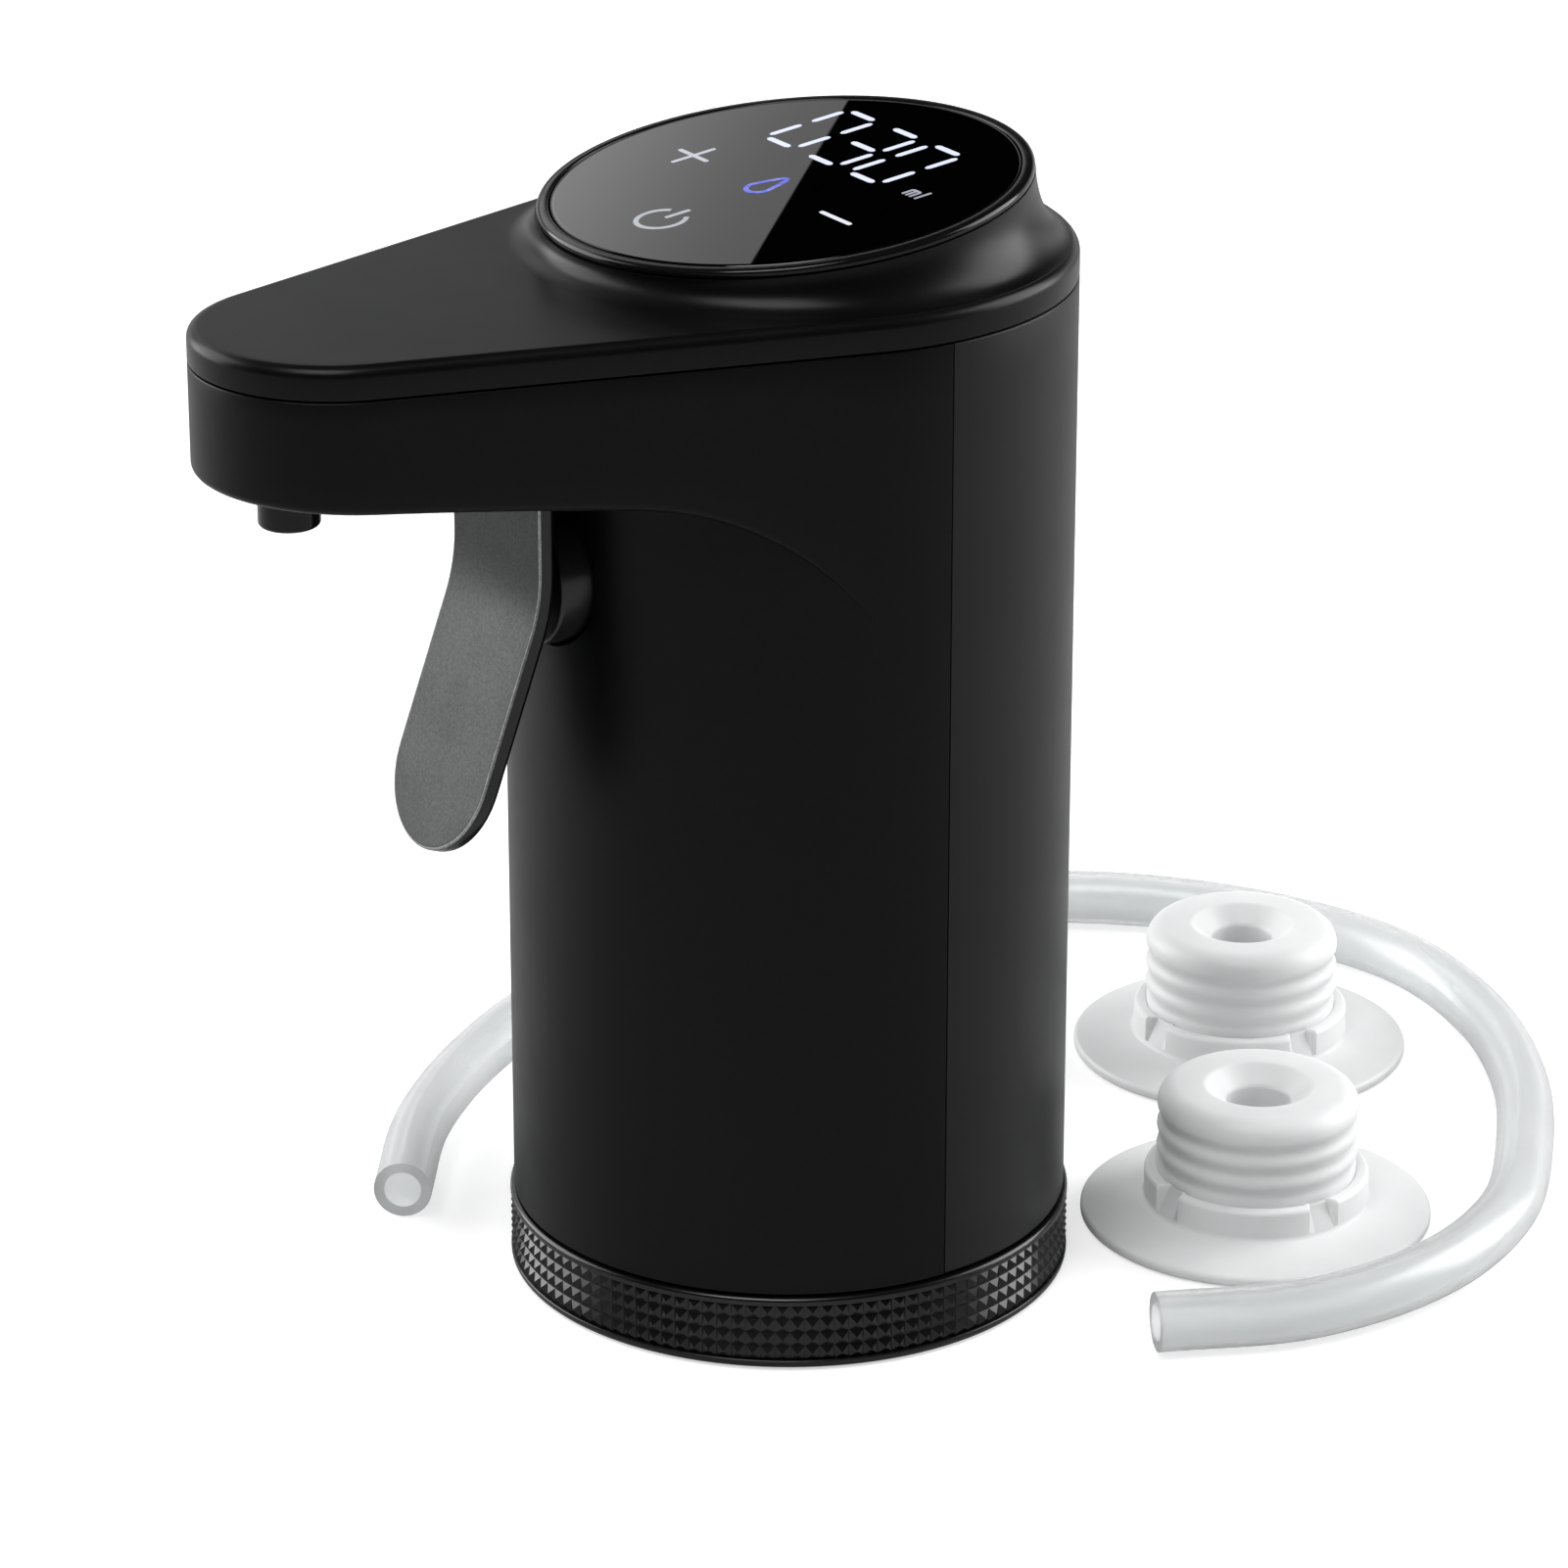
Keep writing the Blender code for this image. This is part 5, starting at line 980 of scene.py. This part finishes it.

# Push button
# The round button that the lever presses: satin ABS, painted lighter than the same ABS of the knurl
# as painted light, a shallow dome with three moulded grip lines, and a stem behind it that reaches
# the switch.
BUTTON_DOME_R = 0.0300
BUTTON_LENGTH = 0.0068
BUTTON_EDGE = 0.0004
BUTTON_STEM_R = 0.0016
BUTTON_STEM_L = 0.0040
GRIP_LINES = (-0.0011, 0.0, 0.0011)
GRIP_LINE_W = 0.00022
GRIP_LINE_H = 0.00010
GRIP_LINE_REACH = 0.00372
GRIP_LINE_FADE = 0.00048
BUTTON_FREE_PLAY = 0.0003
BUTTON_DOME_STEPS, BUTTON_EDGE_STEPS, BUTTON_SIDES = 40, 5, 120
button_face_y = -(PIVOT_Y - LEVER_T / 2 - BUTTON_FREE_PLAY)


def dome_drop(radius):
    """How far the dome has fallen at a distance from its middle: a large sphere's sag."""
    return BUTTON_DOME_R - np.sqrt(BUTTON_DOME_R ** 2 - radius ** 2)


def button_skin():
    """The dome, its rounded rim, the side, the back and the stem, turned about the Y axis."""
    dome_r = np.linspace(0, BUTTON_R - BUTTON_EDGE, BUTTON_DOME_STEPS)
    sine, rise = quarter(BUTTON_EDGE_STEPS)
    rim_fall = dome_drop(BUTTON_R - BUTTON_EDGE)
    back = dome_drop(BUTTON_R) + BUTTON_LENGTH
    profile = np.concatenate([
        np.column_stack([dome_r, dome_drop(dome_r)]),
        np.column_stack([BUTTON_R - BUTTON_EDGE * (1 - sine[1:]),
                         rim_fall + BUTTON_EDGE * rise[1:]]),
        [(BUTTON_R, back), (BUTTON_STEM_R, back), (BUTTON_STEM_R, back + BUTTON_STEM_L),
         (0, back + BUTTON_STEM_L)]])
    points = turned(profile, BUTTON_SIDES)
    across, up, fall = np.moveaxis(points, -1, 0)
    inside = np.clip((GRIP_LINE_REACH - np.abs(across)) / GRIP_LINE_FADE, 0, 1)
    on_dome = (fall < rim_fall) * inside
    ridges = sum(np.exp(-((up - place) / GRIP_LINE_W) ** 2) for place in GRIP_LINES)
    fall = fall + GRIP_LINE_H * ridges * on_dome
    return rows_of(across, button_face_y + fall, BUTTON_Z + up)


# The button's ABS is the knurl's black painted lighter: painted light for the light that falls on
# it.
button_painted_light_finish = moulded_black("satin_moulded_abs_button_painted_light", ("#151516", "#1a1a1b"))
button = new_piece("push_button", [grid(button_skin(), close_columns=True)], button_painted_light_finish)
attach(button, "plunger")
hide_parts("trigger_plunger")

# Silicone stoppers
# They seal the aerator to the bottle: natural silicone, moulded in one shot, with a thin dished
# flange, a notched collar and a ribbed hub. One is fitted, and two more of the same size lie beside
# it.
STOPPER_FLANGE_R = 0.0150
STOPPER_FLANGE_T = 0.0009
STOPPER_DISH = 0.0009
STOPPER_COLLAR_R = 0.0096
STOPPER_COLLAR_H = 0.0026
STOPPER_HUB_R = 0.0086
STOPPER_H = 0.0120
STOPPER_BORE_R = 0.00275
STOPPER_CUP_R = 0.0046
STOPPER_CUP_D = 0.0014
STOPPER_RIB = 0.0003
STOPPER_RIBS = 3
STOPPER_RIB_STEPS = 28
STOPPER_CROWN_D = 0.0018
STOPPER_CROWN_ROUND = 0.0017
STOPPER_CUP_ROUNDS = (0.0006, 0.0007)
STOPPER_EDGE = 0.0004
STOPPER_FINE_EDGE = 0.0003
STOPPER_LIP_EDGE = 0.0001
NOTCH_W = 0.0026
NOTCH_D = 0.0009
NOTCH_SLOPE = 0.0004
NOTCH_FLOOR = 0.0008
STOPPER_COLUMNS = 240
SOCKET_DEPTH = 0.0150
SOCKET_GAP = 0.0003
SPARES = (("spare_stopper_1", (0.0169, 0.0368, 0), "spare_stopper_a"),
          ("spare_stopper_2", (-0.0119, 0.0568, 0), "spare_stopper_b"))


def stopper_skin():
    """The stopper's section turned about its axis. Ribs are a cosine down the hub, and the
    collar's four notches are steps in its radius round the axis."""
    flange_top = STOPPER_DISH + STOPPER_FLANGE_T
    collar_top = flange_top + STOPPER_COLLAR_H
    crown = STOPPER_H - STOPPER_CROWN_D
    down = np.linspace(crown, collar_top + STOPPER_EDGE, STOPPER_RIB_STEPS)
    phase = (crown - down) / (crown - collar_top) * STOPPER_RIBS * 2 * math.pi
    ribbed = np.column_stack([STOPPER_HUB_R - STOPPER_RIB * (1 - np.cos(phase)) / 2, down])
    cup = rounded([
        (STOPPER_BORE_R, STOPPER_DISH, STOPPER_FINE_EDGE),
        (STOPPER_BORE_R, STOPPER_H - STOPPER_CUP_D, STOPPER_CUP_ROUNDS[0]),
        (STOPPER_CUP_R, STOPPER_H, STOPPER_CUP_ROUNDS[1]),
        (STOPPER_HUB_R, STOPPER_H, STOPPER_CROWN_ROUND), (STOPPER_HUB_R, crown, 0)], 8)
    foot = rounded([
        (STOPPER_HUB_R - STOPPER_RIB, collar_top, STOPPER_FINE_EDGE),
        (STOPPER_COLLAR_R, collar_top, STOPPER_EDGE), (STOPPER_COLLAR_R, flange_top, STOPPER_EDGE),
        (STOPPER_FLANGE_R, STOPPER_FLANGE_T, STOPPER_EDGE),
        (STOPPER_FLANGE_R, 0, STOPPER_FINE_EDGE),
        (STOPPER_FLANGE_R - STOPPER_FLANGE_T, 0, STOPPER_LIP_EDGE),
        (STOPPER_COLLAR_R, STOPPER_DISH, STOPPER_EDGE)], 6)
    profile = np.concatenate([cup, ribbed[1:], foot])
    turn = full_turn(STOPPER_COLUMNS)
    radius, height = profile.T[..., None]
    quarter_turn = math.pi / 2
    around = np.abs((turn + quarter_turn / 2) % quarter_turn - quarter_turn / 2) * STOPPER_COLLAR_R
    notch = np.clip((NOTCH_W / 2 + NOTCH_SLOPE / 2 - around) / NOTCH_SLOPE, 0, 1)
    on_collar = ((height > flange_top + NOTCH_FLOOR) & (height <= collar_top)
                 & (radius > STOPPER_HUB_R))
    radius = radius - NOTCH_D * notch * on_collar
    return rows_of(*polar(radius, turn), height)


# Moulded natural silicone is milky white with a soft gloss, and light glows through its thin
# edges.
natural_silicone = finish(
    "natural_moulded_silicone", ("#e3e4e5", "#eeefef"), (0.36, 0.46),
    cloud=(0.005, 3.0, 0.5), grain=(0.0005, 3.0, 0.5), relief=(0.00002, 0.25),
    extra={"IOR": 1.41, "Subsurface Weight": 0.35, "Subsurface Radius": (0.9, 0.9, 0.9),
           "Subsurface Scale": 0.0018})
standing = stopper_skin()
for node, place, body in SPARES:
    spare = new_piece("silicone_" + node, [grid(standing + place, True, True)], natural_silicone)
    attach(spare, body)
    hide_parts(node)
hanging = standing * (1, -1, -1) + (0, 0, SOCKET_DEPTH - SOCKET_GAP)
fitted = new_piece("fitted_stopper", [grid(hanging, True, True)], natural_silicone)
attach(fitted, "base")
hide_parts("bottle_stopper")

# Works inside
# Chassis, pump, motor, hoses, battery and boards stay as their CAD solids, in the finishes of
# the real ones. Only the charging socket and the bottle socket's mouth can be seen from outside.


def solder_mask():
    """Green solder mask over copper: tracks show as paler lines through the lacquer."""
    made, tree = new_material("green_solder_mask")
    place = add(tree, "TexCoord").outputs["Object"]
    tracks = add(tree, "TexBrick", {"offset": 0.5}, {
        "Vector": place, "Scale": 1 / 0.006, "Mortar Size": 0.05, "Mortar Smooth": 0.2,
        "Color1": colour("#0c4a24"), "Color2": colour("#0f542a"), "Mortar": colour("#2c8048")})
    cloud = add(tree, "TexNoise", None, {"Vector": place, "Scale": 1 / 0.001}).outputs["Fac"]
    shader = add(tree, "BsdfPrincipled", None, {
        "Base Color": tracks.outputs["Color"],
        "Roughness": add(tree, "MapRange", None, {
            "Value": cloud, "From Min": NOISE_LOW, "From Max": NOISE_HIGH,
            "To Min": 0.28, "To Max": 0.40}).outputs["Result"]})
    add(tree, "OutputMaterial", None, {"Surface": shader.outputs[0]})
    return made


# Glass-filled nylon, in the chassis and pump, is dark grey and matt, with pale fibre flecks.
nylon = finish("glass_filled_nylon", ("#2b2c2e", "#3a3b3d"), (0.50, 0.66),
               cloud=(0.0006, 5.0, 0.75), flecks=(0.45, 0.75), relief=(0.00003, 0.4))
# Nitrile rubber is dull black with a dusty bloom.
rubber = finish("nitrile_rubber", ("#141414", "#232322"), (0.72, 0.90),
                cloud=(0.002, 4.0, 0.5), relief=(0.00003, 0.3))
# Drawn steel is bright, and fine lines along the draw blur its reflections.
steel = finish("drawn_steel", ("#b9bbbd", "#d2d3d4"), (0.20, 0.34), cloud=(0.0002, 2.0, 0.5),
               stretch=(1, 1, 0.04), relief=(0.00001, 0.3), extra={"Metallic": 1.0})
# The cell's blue shrink sleeve is a thin glossy film with faint wrinkles.
sleeve = finish("blue_shrink_sleeve", ("#2a5f9c", "#326aa8"), (0.25, 0.38),
                cloud=(0.0025, 3.0, 0.5), relief=(0.00005, 0.3))
# The battery lead's red PVC insulation is slightly waxy.
insulation = finish("red_pvc_insulation", ("#a3180f", "#b52218"), (0.38, 0.50),
                    cloud=(0.001, 2.0, 0.5))
board = solder_mask()
inner_finishes = {
    nylon: ("led_display", "bottle_socket", "pump_chassis", "middle_frame", "manifold",
            "pump_eccentric", "pump_housing", "pump_valve_plate", "nozzle_elbow", "micro_switch"),
    rubber: ("touch_pad_plus", "touch_pad_minus", "touch_pad_power", "base_gasket",
             "pump_diaphragm", "cell_band"),
    board: ("control_board", "charge_board"),
    steel: ("frame_screw_left", "frame_screw_right", "pump_motor", "motor_shaft", "pivot_pin",
            "return_spring", "charging_port"),
    sleeve: ("battery_cell",),
    insulation: ("battery_lead",),
    natural_silicone: ("air_hose", "wine_hose"),
}
for coat, nodes in inner_finishes.items():
    for name in nodes:
        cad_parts[name].data.materials.clear()
        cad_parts[name].data.materials.append(coat)

# Studio
# A white table that fades into a white background, a large soft light on each side and one
# overhead. The world is dim in front and above.
FLOOR_R = 3.0
FLOOR_Z = -0.0002
FLOOR_SIDES = 64
FLOOR_LIFT = 0.62
LIFT_NEAR, LIFT_FAR = 0.25, 0.9
BOX_EDGE_ON_PANE = ((-0.01265, 0.0148), (0.0147, -0.0132))
BRIGHT_ON_PANE = (-0.012, -0.010)
BACKDROP_LEVEL, ROOM_LEVEL = 0.95, 0.04
LIGHT_AIM = (0, 0, 0.05)


def floor_white():
    """White table: matt, and lifted to white for the camera, so only the shadow shows on it.
    The lift grows with the distance, because the lamps light the far table less."""
    made, tree = new_material("white_table")
    place = add(tree, "TexCoord").outputs["Object"]
    paper = add(tree, "TexNoise", None, {
        "Vector": place, "Scale": 1 / 0.02}).outputs["Fac"]
    matt = add(tree, "BsdfDiffuse", None, {
        "Color": add(tree, "Mix", {"data_type": "RGBA"}, {
            0: paper, 6: colour("#c9c9c9"), 7: colour("#cecece")}).outputs[2]})
    distance = add(tree, "VectorMath", {"operation": "LENGTH"}, {0: place}).outputs["Value"]
    lift = add(tree, "MapRange", None, {
        "Value": distance, "From Min": LIFT_NEAR, "From Max": LIFT_FAR,
        "To Min": FLOOR_LIFT}).outputs["Result"]
    glow = add(tree, "Emission", None, {"Color": (1, 1, 1, 1), "Strength": lift})
    seen = add(tree, "AddShader", None, {0: matt.outputs[0], 1: glow.outputs[0]})
    rays = add(tree, "LightPath")
    through = add(tree, "Math", {"operation": "MAXIMUM"}, {
        0: rays.outputs["Is Camera Ray"], 1: rays.outputs["Is Transmission Ray"]}).outputs[0]
    chosen = add(tree, "MixShader", None, {
        0: through, 1: matt.outputs[0], 2: seen.outputs[0]})
    add(tree, "OutputMaterial", None, {"Surface": chosen.outputs[0]})
    return made


floor_rings = rows_of(*polar(np.array([[0.0], [FLOOR_R]]), full_turn(FLOOR_SIDES)), FLOOR_Z)
floor = new_piece("floor", [grid(floor_rings, close_columns=True)], floor_white())


def area_light(name, turn, rise, reach, size, power):
    """A rectangular soft light that looks at the body's middle. Its turn is measured from the
    camera's side, positive towards the picture's right, and its rise from the level."""
    aim = Vector(LIGHT_AIM)
    place = aim + reach * direction(CAMERA_TURN + math.radians(turn), math.radians(rise))
    light = bpy.data.lights.new(name, "AREA")
    light.shape = "RECTANGLE"
    light.size, light.size_y = size
    light.energy = power
    made = bpy.data.objects.new(name, light)
    made.location = place
    made.rotation_euler = (place - aim).to_track_quat("Z", "Y").to_euler()
    made.visible_camera = False
    bpy.context.scene.collection.objects.link(made)
    return made


side_lights = [area_light("left_softbox", -113, 20, 0.95, (0.75, 0.8), 9.0),
               area_light("right_softbox", 106, 22, 0.95, (0.65, 0.8), 10.2)]
area_light("key_softbox", -20, 62, 1.10, (0.6, 0.6), 8.0)

# The side lights are flagged off the glass, or it would mirror them as plain white from behind
# and hide its marks.
flagged = bpy.data.collections.new("flagged_glass")
flagged.objects.link(display_pane)
flagged.collection_objects[0].light_linking.link_state = "EXCLUDE"
for light in side_lights:
    light.light_linking.receiver_collection = flagged


def mirror_direction(place):
    """The way in which the display's pane, seen at a point, mirrors the camera's sight."""
    at = Vector(on_display(np.array([[*place, 0.0]]))[0])
    normal = Matrix.Rotation(DISPLAY_TILT, 3, "X") @ Vector((0, 0, 1))
    back = (camera.location - at).normalized()
    return (2 * normal.dot(back) * normal - back).normalized()


def studio_world():
    """White for the camera. The rest sees a white backdrop behind the aerator, dim grey
    elsewhere, and a long softbox whose straight lower edge is mirrored across the pane, with a
    black flag below that edge."""
    world = bpy.data.worlds.new("studio")
    bpy.context.scene.world = world
    world.use_nodes = True
    tree = world.node_tree
    tree.nodes.clear()
    way = add(tree, "TexCoord").outputs["Generated"]
    first, last = (mirror_direction(place) for place in BOX_EDGE_ON_PANE)
    edge = first.cross(last).normalized()
    if edge.dot(mirror_direction(BRIGHT_ON_PANE)) < 0:
        edge = -edge
    behind, up = (-math.sin(CAMERA_TURN), math.cos(CAMERA_TURN), 0), (0, 0, 1)
    rays = add(tree, "LightPath")
    values = {"camera": rays.outputs["Is Camera Ray"],
              "through": rays.outputs["Is Transmission Ray"]}
    ramps = (
        ("back", behind, 0.0, 0.5, 0.0, 1.0), ("low", up, 0.37, 0.10, 0.0, 1.0),
        ("near", mirror_direction((0, 0)), 0.80, 0.90, 0.0, 1.0),
        ("high", up, 0.345, 0.372, 0.0, 1.0),
        ("past_edge", edge, -0.0002, 0.0002, 0.0, 1.0), ("glow", edge, 0.0, 0.05, 0.6, 1.45))
    for name, direction, start, end, low, high in ramps:
        share = add(tree, "VectorMath", {"operation": "DOT_PRODUCT"}, {
            0: way, 1: tuple(direction)}).outputs["Value"]
        values[name] = add(tree, "MapRange", {"interpolation_type": "SMOOTHSTEP"}, {
            "Value": share, "From Min": start, "From Max": end,
            "To Min": low, "To Max": high}).outputs["Result"]
    sums = (
        ("backdrop", "MULTIPLY", "back", "low"),
        ("bright", "MULTIPLY", "backdrop", BACKDROP_LEVEL), ("room", "ADD", "bright", ROOM_LEVEL),
        ("above", "MULTIPLY", "near", "high"),
        ("open", "SUBTRACT", 1.0, "above"), ("flagged", "MULTIPLY", "room", "open"),
        ("box", "MULTIPLY", "past_edge", "above"), ("softbox", "MULTIPLY", "box", "glow"),
        ("level", "MAXIMUM", "flagged", "softbox"), ("seen", "MAXIMUM", "camera", "through"))
    for name, operation, *pair in sums:
        values[name] = add(tree, "Math", {"operation": operation}, {
            i: values.get(value, value) for i, value in enumerate(pair)}).outputs[0]
    strength = add(tree, "Mix", {"data_type": "FLOAT"}, {
        0: values["seen"], 2: values["level"], 3: 1.0}).outputs[0]
    sky = add(tree, "Background", None, {"Color": (1, 1, 1, 1), "Strength": strength})
    add(tree, "OutputWorld", None, {"Surface": sky.outputs[0]})


studio_world()
bpy.context.scene.view_settings.view_transform = "Standard"
